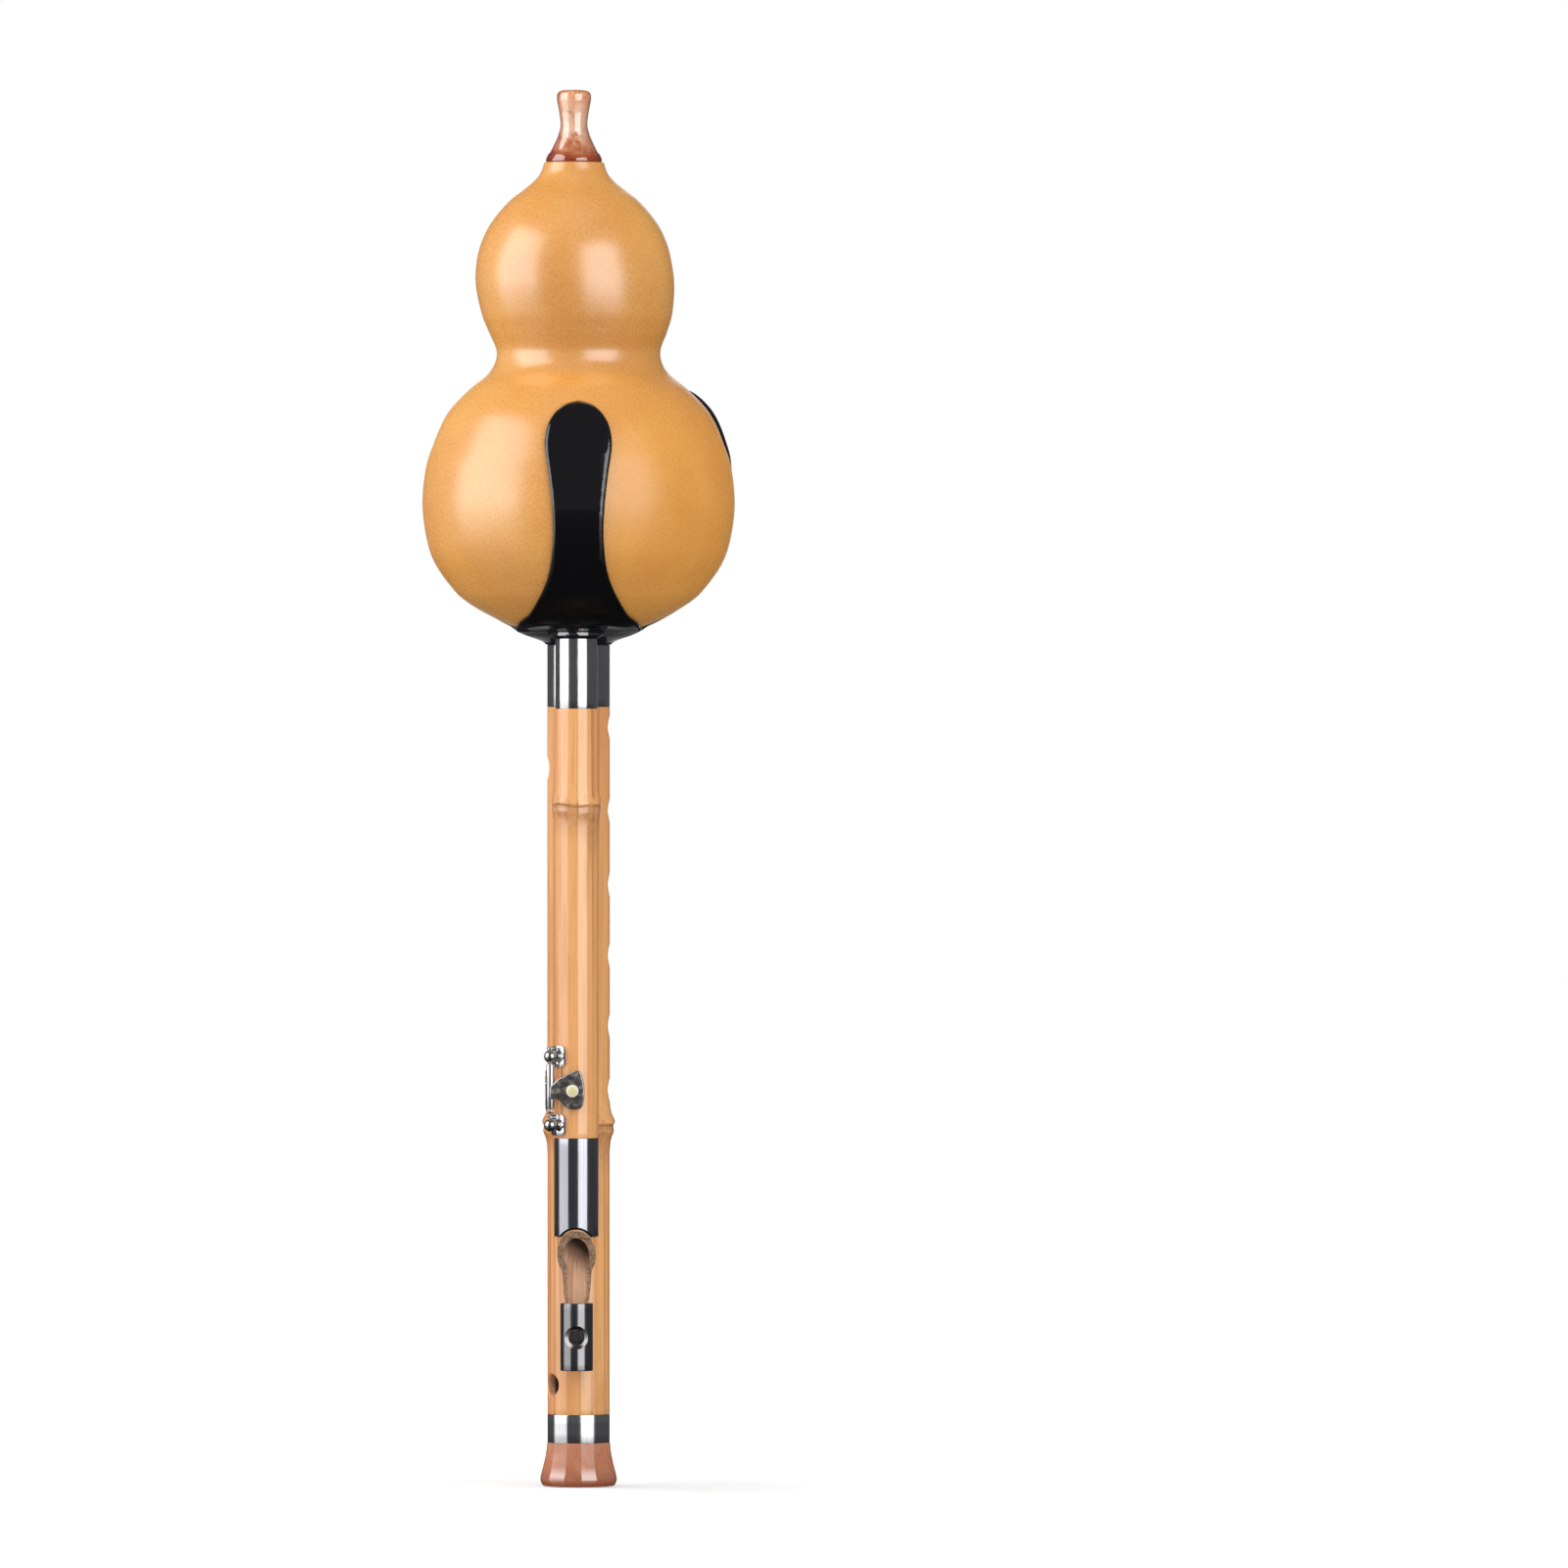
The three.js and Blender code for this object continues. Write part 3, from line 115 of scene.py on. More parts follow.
# Base
BOWL_RADIUS, BOWL_DEPTH = 20.4, 6
BOWL_SHARES = [(0, 0.505), (0.17, 0.559), (0.36, 0.681), (0.55, 0.833), (0.75, 0.931), (1, 1), (1.9, 1)]
BOAT_HALF_WIDTH, BOAT_HALF_LENGTH, BOAT_HEIGHT, HUB_STEP, NECK_TOP = 17, 31, 9.8, 2, 6
BOAT_SHARES = [(0, 0.56, 0.87), (0.12, 0.76, 0.93), (0.38, 0.94, 0.975), (1, 1, 1)]
NECK_RADIUS, BEAD_REACH, BEAD_RADIUS, BEAD_RISES = 6.9, 6.8, 0.85, (1.1, 2.6)
CLAW_HALF_WIDTH, CLAW_RISE, CLAW_TOP = 10.7, 6.2, 2.2
# Azimuth, height, how far the root spreads, how much thinner it gets towards the root
CLAWS = [(math.radians(2), 71.3, 1, 0), (math.radians(118), 76.3, 0, 1), (math.radians(241), 71.3, 0, 1)]
CLAW_WAIST = 0.755
CLAW_ROOT = [(-0.1, 1.95), (0, 1.82), (0.05, 1.45), (0.161, 1.04), (0.26, 0.84), (0.394, CLAW_WAIST)]
CLAW_TIP = [(0.529, 0.785), (0.663, 0.883), (0.795, 1), (0.88, 0.93), (0.94, 0.72), (0.983, 0.4), (1, 0)]
PLUG_RADIUS, PLUG_REACH, PLUG_TOP = 9.9, 17.1, 14.7
SOCKET_MAIN, SOCKET_DRONE, SOCKET_RELIEF = 8.4, 6, 7

# Mouthpiece, its tenon and the cork in the tenon's groove
MOUTH_HEIGHT, MOUTH_RADIUS, MOUTH_BORE = 23.2, 8.95, 2.5
MOUTH_SHARES = [
    (0, 0.983), (0.04, 1), (0.11, 0.93), (0.16, 0.827), (0.29, 0.66), (0.385, 0.56), (0.51, 0.48),
    (0.65, 0.512), (0.76, 0.56), (0.88, 0.613), (0.955, 0.58), (0.99, 0.47), (1, 0.36),
]
TENON_RADIUS, TENON_END, GROOVE_RADIUS, GROOVE_LOW, GROOVE_HIGH = 4.7, -11.5, 3.9, -9.7, -1.8
MOUTH_CORK = dict(outer=5.6, inner=4.2, low=-9.4, high=-2.1)

# Key on the near drone, about that drone's axis
KEY_HEIGHT, POST_HEIGHTS = 126.7, (137.6, 115.8)
HINGE = (-7.967, -6.685)
POST_AZIMUTH, SCREW_AZIMUTH, CUP_AZIMUTH = math.radians(-50), math.radians(-32.5), math.radians(-6)
KEY_SCREW_HOLE, AXLE_RADIUS, AXLE_BORE, BALL_RADIUS = 0.8, 0.6, 0.7, 2.1
CUP_WIDTH, CUP_HEIGHT, CUP_BACK, CUP_FRONT = 4.1, 6.6, 7.4, 9.2
PAD_RECESS, PAD_TOP, BUTTON_HOLE, BUTTON_SEAT, BUTTON_BOTTOM = 3.2, 8.5, 2.3, 8.7, 8.8
CUP_SHARES = [
    (-1.76, 0.14), (-1.36, 0.42), (-1, 0.61), (0.05, 0.93), (0.37, 0.99), (0.68, 0.82), (0.91, 0.11),
    (0.85, -0.52), (0.66, -0.82), (0.22, -0.9), (-0.46, -0.82), (-1.1, -0.42), (-1.76, -0.36),
]
TOUCH_LENGTH, TOUCH_HALF_HEIGHT, TOUCH_BOW, TOUCH_HALF_WALL = 16, 6.5, -1.6, 0.45
TOUCH_PLAN = [(0.3, 0.02), (0.8, 0.22), (0.97, 0.5), (0.94, 0.75), (1.03, 1)]
TOUCH_SIDE = [(-0.05, 0.36), (0.25, 0.34), (0.45, 0.62), (0.62, 0.95), (0.8, 0.98), (0.94, 0.66), (1, 0)]


# Curves and profiles

def spline(points, per_span=10):
    """A smooth curve through 2-D points, the same number of steps between each two."""
    points = np.array(points, float)
    ends = np.vstack([points[:1], points, points[-1:]])
    rows = []
    for i in range(len(points) - 1):
        a, b, c, d = ends[i:i + 4]
        u, v = (c - a) / 2, (d - b) / 2
        for t in np.arange(per_span) / per_span:
            rows.append((2 * b - 2 * c + u + v) * t ** 3 + (3 * c - 3 * b - 2 * u - v) * t ** 2 + u * t + b)
    rows.append(points[-1])
    return np.array(rows)


def directions(curve):
    """Unit vectors along a curve."""
    along = np.gradient(curve, axis=0)
    along /= np.linalg.norm(along, axis=1)[:, None]
    return along


def eased(profile, radius, steps=3, closed=False):
    """The profile with its sharp corners rounded."""
    nearly_straight = -0.94
    points = [np.array(p, float) for p in (profile[:-1] if closed else profile)]
    result = []
    for i, p in enumerate(points):
        before, after = points[i - 1] - p, points[(i + 1) % len(points)] - p
        lengths = np.linalg.norm(before), np.linalg.norm(after)
        is_end = not closed and i in (0, len(points) - 1)
        if (is_end or min(lengths) < 1e-6
                or np.dot(before, after) / (lengths[0] * lengths[1]) < nearly_straight):
            result.append(p)
            continue
        reach = min(radius, lengths[0] * 0.45, lengths[1] * 0.45)
        start, end = p + before / lengths[0] * reach, p + after / lengths[1] * reach
        for t in np.linspace(0, 1, steps + 1):
            result.append((1 - t) ** 2 * start + 2 * t * (1 - t) * p + t ** 2 * end)
    return result + result[:1] if closed else result


def dense(profile, step):
    """The profile with extra points, so that no step is longer than the given one."""
    points = [np.array(p, float) for p in profile]
    result = [points[0]]
    for a, b in zip(points, points[1:]):
        parts = max(1, math.ceil(np.linalg.norm(b - a) / step))
        result += [a + (b - a) * (i + 1) / parts for i in range(parts)]
    return result


def rod(radius, low, high):
    """The profile of a plain cylinder."""
    return [(0, low), (radius, low), (radius, high), (0, high)]


def wall(inner, outer, low, high):
    """The closed profile of a plain tube."""
    return [(inner, low), (outer, low), (outer, high), (inner, high), (inner, low)]


def oblong(half_width, low, high):
    return [(-half_width, low), (half_width, low), (half_width, high), (-half_width, high)]


def stadium(half_width, half_length, steps=24):
    middle = half_length - half_width
    turns = np.linspace(0, math.pi, steps)
    top = [(half_width * math.cos(t), middle + half_width * math.sin(t)) for t in turns]
    return top + [(-x, -y) for x, y in top]


def rounded_box(half_width, half_height, corner, steps=6):
    outline = []
    for sx, sy, start in ((1, 1, 0), (-1, 1, 90), (-1, -1, 180), (1, -1, 270)):
        for t in np.radians(np.linspace(start, start + 90, steps)):
            x = sx * (half_width - corner) + corner * math.cos(t)
            outline.append((x, sy * (half_height - corner) + corner * math.sin(t)))
    return outline


# Axes of an outline: across, up and out
UPRIGHT = ((1, 0, 0), (0, 1, 0), (0, 0, 1))
SIDEWAYS = ((0, 1, 0), (0, 0, 1), (1, 0, 0))


def outward_axes(azimuth):
    """Across, up and out, for a face that looks along -Y turned by the azimuth."""
    c, s = math.cos(azimuth), math.sin(azimuth)
    return np.array([(c, s, 0), (0, 0, 1), (s, -c, 0)])


# Meshes

def mesh_object(points, faces, smooth_below=35):
    mesh = bpy.data.meshes.new("form")
    mesh.from_pydata((np.array(points, float) * MM).tolist(), [], faces)
    body = bpy.data.objects.new("form", mesh)
    bpy.context.scene.collection.objects.link(body)
    return finished(body, smooth_below)


def finished(body, smooth_below=35):
    """Normals outward, smooth but for edges sharper than the given angle."""
    form = bmesh.new()
    form.from_mesh(body.data)
    bmesh.ops.remove_doubles(form, verts=form.verts, dist=1e-7)
    bmesh.ops.recalc_face_normals(form, faces=form.faces)
    form.to_mesh(body.data)
    form.free()
    body.data.shade_smooth()
    body.data.set_sharp_from_angle(angle=math.radians(smooth_below))
    return body


def bridged(rings):
    """The faces between rings of vertices; a ring on the axis is one vertex, repeated."""
    faces = []
    for low, high in zip(rings, rings[1:]):
        for i in range(len(low)):
            j = (i + 1) % len(low)
            face = tuple(dict.fromkeys((low[i], low[j], high[j], high[i])))
            if len(face) > 2:
                faces.append(face)
    return faces


def turned(profile, steps=96, at=(0, 0, 0), smooth_below=35):
    """A profile of (radius, height) turned about Z. It starts and ends on the axis, or closes on itself."""
    points, rings = [], []
    for radius, height in profile:
        if radius < 1e-6:
            rings.append([len(points)] * steps)
            points.append((0, 0, height))
        else:
            rings.append(range(len(points), len(points) + steps))
            angles = np.arange(steps) * 2 * math.pi / steps
            points += [(radius * math.cos(a), radius * math.sin(a), height) for a in angles]
    return mesh_object(np.array(points) + np.array(at), bridged(rings), smooth_below)


def prism(outline, low, high, axes, at=(0, 0, 0)):
    """An outline of (a, b) between two distances along the third of the axes."""
    across, up, out = np.array(axes, float)
    count = len(outline)
    points = [across * a + up * b + out * d for d in (low, high) for a, b in outline]
    ends = range(count), range(count, 2 * count)
    return mesh_object(np.array(points) + np.array(at), [*map(tuple, ends), *bridged(ends)])


def tube(outer, inner, low, high, ease=0.15, steps=96):
    return turned(dense(eased(wall(inner, outer, low, high), ease, 3, True), 4), steps)


def reshaped(body, change):
    """Puts the vertices where the function sends their places, in metres."""
    places = np.empty(len(body.data.vertices) * 3)
    body.data.vertices.foreach_get("co", places)
    body.data.vertices.foreach_set("co", change(places.reshape(-1, 3)).ravel())
    body.data.update()
    return body


def moved(body, x=0, y=0, z=0, turn=0):
    """The vertices turned about Z, then moved."""
    c, s = math.cos(turn), math.sin(turn)
    from_turn = np.array([[c, -s, 0], [s, c, 0], [0, 0, 1]])
    return reshaped(body, lambda places: places @ from_turn.T + np.array([x, y, z]) * MM)


def outward_turned(profile, azimuth, height, steps=48, smooth_below=35):
    """A profile of (radius, distance) turned about an axis that points outward at the azimuth."""
    across, up, out = outward_axes(azimuth)
    lift = np.array([0, 0, height]) * MM
    body = turned(profile, steps, smooth_below=smooth_below)
    reshaped(body, lambda places: places[:, :1] * across + places[:, 1:2] * up + places[:, 2:] * out + lift)
    return finished(body, smooth_below)


def drill(radius, low, high, azimuth, height, steps=32):
    """A round cutter between two distances from the axis."""
    return outward_turned(rod(radius, low, high), azimuth, height, steps)


def hole_cutter(radius, surface, ease, azimuth, height, steps=64):
    """A round hole's cutter whose rim is rounded along the curve of the pipe's surface."""
    across, up, out = outward_axes(azimuth)
    # Reach from the hole's axis, flat distance out or none, height above the surface
    rims = [(radius, surface * 0.2, 0)]
    for angle in np.radians([0, 20, 40, 58, 74]):
        rims.append((radius + ease * (1 - math.cos(angle)), None, -ease * (1 - math.sin(angle))))
    last = rims[-1][0] + ease * 0.1
    rims += [(last, None, 0.3), (last, surface + 3, 0)]
    points = []
    for reach, flat, rise in rims:
        for a in np.arange(steps) * 2 * math.pi / steps:
            u, v = reach * math.cos(a), reach * math.sin(a)
            points.append(across * u + up * v + out * (flat or math.sqrt(surface ** 2 - u ** 2) + rise))
    rings = [range(k * steps, (k + 1) * steps) for k in range(len(rims))]
    faces = [*bridged(rings), tuple(rings[0]), tuple(rings[-1])]
    return mesh_object(np.array(points) + np.array([0, 0, height]), faces)


def bake(body):
    """Keeps what the object's modifiers make."""
    graph = bpy.context.evaluated_depsgraph_get()
    mesh = bpy.data.meshes.new_from_object(body.evaluated_get(graph))
    body.modifiers.clear()
    body.data = mesh


def combined(body, others, operation, smooth_below=35):
    for other in others:
        modifier = body.modifiers.new("combine", "BOOLEAN")
        modifier.operation = operation
        modifier.object = other
        modifier.solver = "EXACT"
    bake(body)
    for other in others:
        bpy.data.objects.remove(other)
    return finished(body, smooth_below)


def carved(body, *cutters, smooth_below=35):
    return combined(body, cutters, "DIFFERENCE", smooth_below)


def joined(bodies):
    """One object from several, each kept as its own closed shell."""
    form = bmesh.new()
    for body in bodies:
        form.from_mesh(body.data)
    mesh = bpy.data.meshes.new("form")
    form.to_mesh(mesh)
    form.free()
    for body in bodies:
        bpy.data.objects.remove(body)
    whole = bpy.data.objects.new("form", mesh)
    bpy.context.scene.collection.objects.link(whole)
    return finished(whole)


def bevelled(body, width, segments=3):
    modifier = body.modifiers.new("edges", "BEVEL")
    modifier.width = width * MM
    modifier.segments = segments
    modifier.limit_method = "ANGLE"
    modifier.angle_limit = math.radians(40)
    bake(body)
    return finished(body, 50)


# Materials

class Nodes:
    """Small procedural patterns in a node tree."""

    def __init__(self, tree):
        self.tree = tree

    def put(self, value, socket):
        """Joins another node's output to a socket, or sets the socket to a number or a colour."""
        if hasattr(value, "is_output"):
            self.tree.links.new(value, socket)
        else:
            socket.default_value = (*value, 1) if socket.type == "RGBA" else value

    def node(self, kind, **inputs):
        made = self.tree.nodes.new(kind)
        for key, value in inputs.items():
            self.put(value, made.inputs[key.replace("_", " ")])
        return made

    def math(self, operation, a, b=0):
        made = self.node("ShaderNodeMath")
        made.operation = operation
        self.put(a, made.inputs[0])
        self.put(b, made.inputs[1])
        return made.outputs[0]

    def times(self, a, b):
        return self.math("MULTIPLY", a, b)

    def plus(self, value, other, share=1, middle=0):
        """A value, with a share of how far another is above its middle."""
        if middle:
            other = self.math("SUBTRACT", other, middle)
        return self.math("ADD", value, self.times(other, share))

    def mix(self, share, a, b, blend="MIX"):
        made = self.node("ShaderNodeMix")
        made.data_type, made.blend_type = "RGBA", blend
        for socket, value in ((0, share), (6, a), (7, b)):
            self.put(value, made.inputs[socket])
        return made.outputs[2]

    def range(self, value, low, high, to_low=0, to_high=1):
        made = self.node("ShaderNodeMapRange", Value=value, From_Min=low, From_Max=high, To_Min=to_low,
                         To_Max=to_high)
        return made.outputs["Result"]

    def ramp(self, value, *stops):
        made = self.node("ShaderNodeValToRGB", Fac=value)
        elements = made.color_ramp.elements
        while len(elements) < len(stops):
            elements.new(0.5)
        for element, (position, colour) in zip(elements, stops):
            element.position = position
            element.color = (*colour, 1)
        return made.outputs["Color"]

    def shaded(self, colour, share, value, low, high, shade):
        """A colour, multiplied by a shade where the value is low."""
        return self.mix(share, colour, self.ramp(value, (low, shade), (high, (1, 1, 1))), "MULTIPLY")


class Paint(Nodes):
    """A principled material whose inputs are fed by such patterns."""

    def __init__(self, name, base, roughness, metallic=0, coat=0, coat_roughness=0.03, coat_ior=1.5, ior=1.5):
        self.material = bpy.data.materials.new(name)
        self.material.use_nodes = True
        super().__init__(self.material.node_tree)
        self.shader = self.tree.nodes["Principled BSDF"]
        self.place = self.node("ShaderNodeTexCoord").outputs["Object"]
        self.bump = None
        self.set(Base_Color=base, Roughness=roughness, Metallic=metallic, IOR=ior)
        self.set(Coat_Weight=coat, Coat_Roughness=coat_roughness, Coat_IOR=coat_ior)

    def set(self, **inputs):
        for key, value in inputs.items():
            self.put(value, self.shader.inputs[key.replace("_", " ")])

    def noise(self, stretch, detail=4, roughness=0.5, distortion=0):
        place = self.node("ShaderNodeMapping", Vector=self.place, Scale=stretch).outputs[0]
        made = self.node("ShaderNodeTexNoise", Vector=place, Scale=1, Detail=detail, Roughness=roughness,
                         Distortion=distortion)
        return made.outputs["Fac"]

    def axis(self, name):
        return self.node("ShaderNodeSeparateXYZ", Vector=self.place).outputs[name]

    def raise_by(self, height, strength, distance):
        """Adds to the surface's relief."""
        made = self.node("ShaderNodeBump", Strength=strength, Distance=distance * MM, Height=height)
        if self.bump:
            self.put(self.bump, made.inputs["Normal"])
        self.bump = made.outputs["Normal"]
        self.set(Normal=self.bump)


def bamboo_paint(name, node, reach):
    """Varnished bamboo: warm straw with darker fibres that run along it, browner below its node."""
    paint = Paint(name, (0.75, 0.38, 0.155), 0.4, coat=1, coat_roughness=0.1, coat_ior=1.75)
    broad = paint.noise((90, 90, 5), detail=3)
    fibre = paint.noise((1500, 1500, 20), detail=5, roughness=0.65)
    fleck = paint.noise((4200, 4200, 60), detail=2)
    line = paint.noise((520, 520, 3), detail=2)
    colour = paint.ramp(broad, (0.32, (0.74, 0.31, 0.10)), (0.5, (0.84, 0.39, 0.13)),
                        (0.7, (0.92, 0.485, 0.18)))
    colour = paint.shaded(colour, 0.5, fibre, 0.36, 0.5, (0.72, 0.54, 0.38))
    colour = paint.shaded(colour, 0.4, fleck, 0.3, 0.42, (0.76, 0.62, 0.5))
    colour = paint.shaded(colour, 0.75, line, 0.32, 0.4, (0.60, 0.44, 0.30))
    sunned = paint.range(paint.noise((170, 170, 22), detail=5, roughness=0.6), 0.54, 0.66, 0, 0.5)
    colour = paint.mix(sunned, colour, (0.62, 0.27, 0.085))

    speck = paint.noise((900, 900, 500), detail=3, roughness=0.7)
    wobble = paint.noise((220, 220, 60), detail=3)
    above = paint.math("SUBTRACT", paint.axis("Z"), node * MM)
    ragged = paint.plus(paint.plus(above, wobble, 9 * MM, 0.5), paint.axis("X"), 0.35)
    below = paint.range(ragged, -reach * 1.9 * MM, -reach * 0.3 * MM)
    band = paint.times(below, paint.range(above, reach * 0.1 * MM, 0))
    brown = paint.ramp(speck, (0.38, (0.30, 0.12, 0.045)), (0.6, (0.58, 0.26, 0.10)))
    colour = paint.mix(paint.times(band, 0.55), colour, brown)
    off = paint.math("ABSOLUTE", paint.math("SUBTRACT", above, reach * 0.05 * MM))
    groove = paint.range(off, 0.75 * MM, 0.25 * MM)
    broken = paint.times(groove, paint.range(wobble, 0.4, 0.6, 0.25, 0.7))
    paint.set(Base_Color=paint.mix(broken, colour, (0.34, 0.13, 0.04)))
    paint.raise_by(fibre, 0.2, 0.1)
    return paint


def bare_wall_colour(paint):
    """Bare bamboo cut along its fibres: pinkish tan with pale and brown lines."""
    fibre = paint.noise((1100, 1100, 30), detail=5, roughness=0.65)
    broad = paint.noise((260, 260, 40), detail=3)
    colour = paint.ramp(fibre, (0.34, (0.52, 0.27, 0.14)), (0.5, (0.72, 0.42, 0.26)),
                        (0.68, (0.84, 0.58, 0.42)))
    return paint.shaded(colour, 0.6, broad, 0.36, 0.55, (0.76, 0.62, 0.5))


def cut_bamboo_paint():
    """The cut ends of the fibres: grey-brown, dotted with dark pores; the tongue's middle is smooth."""
    paint = Paint("bamboo_cut", (0.36, 0.22, 0.13), 0.75)
    fibre = paint.noise((1300, 1300, 500), detail=4, roughness=0.7)
    pore = paint.noise((2300, 2300, 1500), detail=3, roughness=0.6)
    colour = paint.ramp(fibre, (0.35, (0.26, 0.145, 0.08)), (0.62, (0.50, 0.32, 0.20)))
    colour = paint.shaded(colour, 0.85, pore, 0.38, 0.52, (0.28, 0.2, 0.16))
    ragged = paint.plus(paint.math("ABSOLUTE", paint.axis("X")), fibre, 2.5 * MM, 0.5)
    inside = paint.range(ragged, 3.4 * MM, 2.4 * MM)
    below = paint.range(paint.axis("Z"), (TONGUE_TOP + 6) * MM, (TONGUE_TOP + 2) * MM)
    paint.set(Base_Color=paint.mix(paint.times(inside, below), colour, bare_wall_colour(paint)))
    paint.raise_by(pore, 0.5, 0.2)
    return paint


def bore_bamboo_paint(name, dark_from, dark_to):
    """The bare inner wall, with painted shade: dark brown further into the bore, where it lies in shadow."""
    paint = Paint(name, (0.66, 0.38, 0.23), 0.6)
    # Painted shade: along a slant, the wall's colour turns to near-black brown further into the bore, in
    # place of the shadow in there.
    aslant = paint.plus(paint.axis("Z"), paint.axis("X"), 0.9)
    painted_shade = paint.range(aslant, dark_from * MM, dark_to * MM)
    paint.set(Base_Color=paint.mix(painted_shade, bare_wall_colour(paint), (0.07, 0.028, 0.012)))
    paint.raise_by(paint.noise((1100, 1100, 30), detail=5), 0.4, 0.15)
    return paint


def gourd_paint():
    """Orange-yellow varnish over a finely grained gourd skin, more worn at the lower left."""
    paint = Paint("gourd_skin", (0.75, 0.35, 0.09), 0.45, coat=1, coat_roughness=0.27, coat_ior=2.25)
    cloud = paint.noise((22, 22, 22), detail=5, roughness=0.55)
    vein = paint.noise((60, 60, 24), detail=6, roughness=0.6)
    speck = paint.noise((1300, 1300, 1300), detail=3, roughness=0.7)
    colour = paint.ramp(cloud, (0.35, (0.74, 0.31, 0.045)), (0.65, (0.84, 0.395, 0.07)))
    colour = paint.shaded(colour, 0.12, vein, 0.35, 0.55, (0.90, 0.80, 0.66))
    colour = paint.shaded(colour, 0.26, speck, 0.3, 0.6, (0.80, 0.64, 0.48))
    waist = (GOURD_BOTTOM + WAIST_HEIGHT) * MM
    worn = paint.range(paint.axis("X"), -5 * MM, 15 * MM, 0.85, 0.3)
    upper = paint.range(paint.axis("Z"), waist - 0.035, waist - 0.005)
    paint.set(Base_Color=colour, Coat_Roughness=paint.range(speck, 0.35, 0.65, 0.23, 0.33),
              Coat_Weight=paint.math("MAXIMUM", worn, upper))
    paint.raise_by(paint.noise((70, 70, 70), detail=3), 0.2, 1.2)
    paint.raise_by(speck, 0.09, 0.2)
    return paint


def agate_paint(name, low, high, stops, marbling, deep, coat_ior):
    """Marbled resin, polished: its colour changes along it, lighter clouds run through it, and painted shade
    darkens it at its edges.
    """
    paint = Paint(name, (0.5, 0.2, 0.1), 0.12, coat=1, coat_ior=coat_ior)
    swirl = paint.noise((90, 90, 60), detail=4, roughness=0.55, distortion=1.2)
    wisps = paint.noise((260, 260, 150), detail=5, roughness=0.6, distortion=1.6)
    along = paint.plus(paint.range(paint.axis("Z"), low * MM, high * MM), swirl, marbling, 0.5)
    light = paint.times(paint.range(wisps, 0.48, 0.7), marbling)
    light = paint.times(light, paint.range(along, 0.08, 0.25))
    dark = paint.times(paint.range(wisps, 0.47, 0.34), marbling * 2.2)
    colour = paint.mix(light, paint.ramp(along, *stops), (0.92, 0.66, 0.50))
    colour = paint.mix(dark, colour, (0.42, 0.10, 0.03))
    # Painted shade: the colour darkens where the surface turns away from the view, in place of the deep look
    # of translucent resin at its edges.
    facing = paint.node("ShaderNodeLayerWeight", Blend=0.5).outputs["Facing"]
    painted_edge_shade = paint.range(facing, 0.15, 0.75, 0, deep)
    paint.set(Base_Color=paint.mix(painted_edge_shade, colour, (0.5, 0.2, 0.1), "MULTIPLY"))
    paint.set(Subsurface_Weight=0.15, Subsurface_Radius=(0.01, 0.004, 0.002), Subsurface_Scale=0.3)
    return paint


def black_paint():
    """Polished black resin, duller where the claws run into the bowl, brightest on the turned beads."""
    paint = Paint("black_resin", (0.003, 0.003, 0.004), 0.07, coat=0.6, coat_roughness=0.02, ior=1.6)
    height = paint.axis("Z")
    root = paint.range(height, (BASE_BOTTOM + 26) * MM, (BASE_BOTTOM + 14) * MM)
    beads = paint.range(height, (BASE_BOTTOM + NECK_TOP + 1.5) * MM, (BASE_BOTTOM + NECK_TOP) * MM)
    dull = paint.plus(root, beads, -1)
    polish = paint.range(paint.noise((40, 40, 40), detail=3), 0.3, 0.7, 0.05, 0.12)
    paint.set(Roughness=paint.plus(polish, dull, 0.3), Coat_Weight=paint.range(dull, 0, 1, 0.6, 0.02),
              Specular_IOR_Level=paint.range(dull, 0, 1, 0.5, 0.25),
              Coat_IOR=paint.range(beads, 0, 1, 1.8, 3.6))
    paint.raise_by(paint.noise((110, 110, 110), detail=2), 0.05, 0.5)
    return paint


def steel_paint(name, grey=0.78, roughness=0.14, scratches=0.35, blue=1.01):
    """Polished steel with fine draw marks along the tube."""
    paint = Paint(name, (grey, grey, grey * blue), roughness, metallic=1)
    marks = paint.noise((2600, 2600, 16), detail=4, roughness=0.6)
    wear = paint.noise((120, 120, 60), detail=5)
    dark = grey * 0.82
    tint = paint.ramp(marks, (0.35, (dark, dark, dark * blue)), (0.6, (grey, grey, grey * blue)))
    paint.set(Base_Color=tint, Roughness=paint.range(wear, 0.3, 0.7, roughness * 0.7, roughness * 1.4))
    paint.raise_by(marks, scratches, 0.02)
    return paint


def tarnished_paint():
    """Dull silver, mottled dark, a little brighter where it is worn."""
    paint = Paint("tarnished_silver", (0.09, 0.085, 0.08), 0.45, metallic=0.4)
    blotch = paint.noise((520, 520, 520), detail=5, roughness=0.72)
    pits = paint.noise((2600, 2600, 2600), detail=3, roughness=0.6)
    colour = paint.ramp(blotch, (0.4, (0.05, 0.047, 0.043)), (0.52, (0.12, 0.113, 0.105)),
                        (0.64, (0.36, 0.34, 0.31)))
    paint.set(Base_Color=colour, Roughness=paint.range(pits, 0.3, 0.7, 0.3, 0.55))
    paint.raise_by(blotch, 0.5, 0.25)
    paint.raise_by(pits, 0.4, 0.1)
    return paint


def plain_paint(name, base, roughness, grain=600, depth=0.1, metallic=0, coat=0, spread=0.18):
    """A small piece's finish: its colour clouded and its surface slightly grained."""
    paint = Paint(name, base, roughness, metallic=metallic, coat=coat)
    cloud = paint.noise((grain, grain, grain), detail=4, roughness=0.6)
    dark = tuple(c * (1 - spread) for c in base)
    light = tuple(min(1, c * (1 + spread)) for c in base)
    paint.set(Base_Color=paint.ramp(cloud, (0.3, dark), (0.7, light)),
              Roughness=paint.range(cloud, 0.3, 0.7, roughness * 0.85, min(1, roughness * 1.15)))
    paint.raise_by(cloud, 0.3, depth)
    return paint


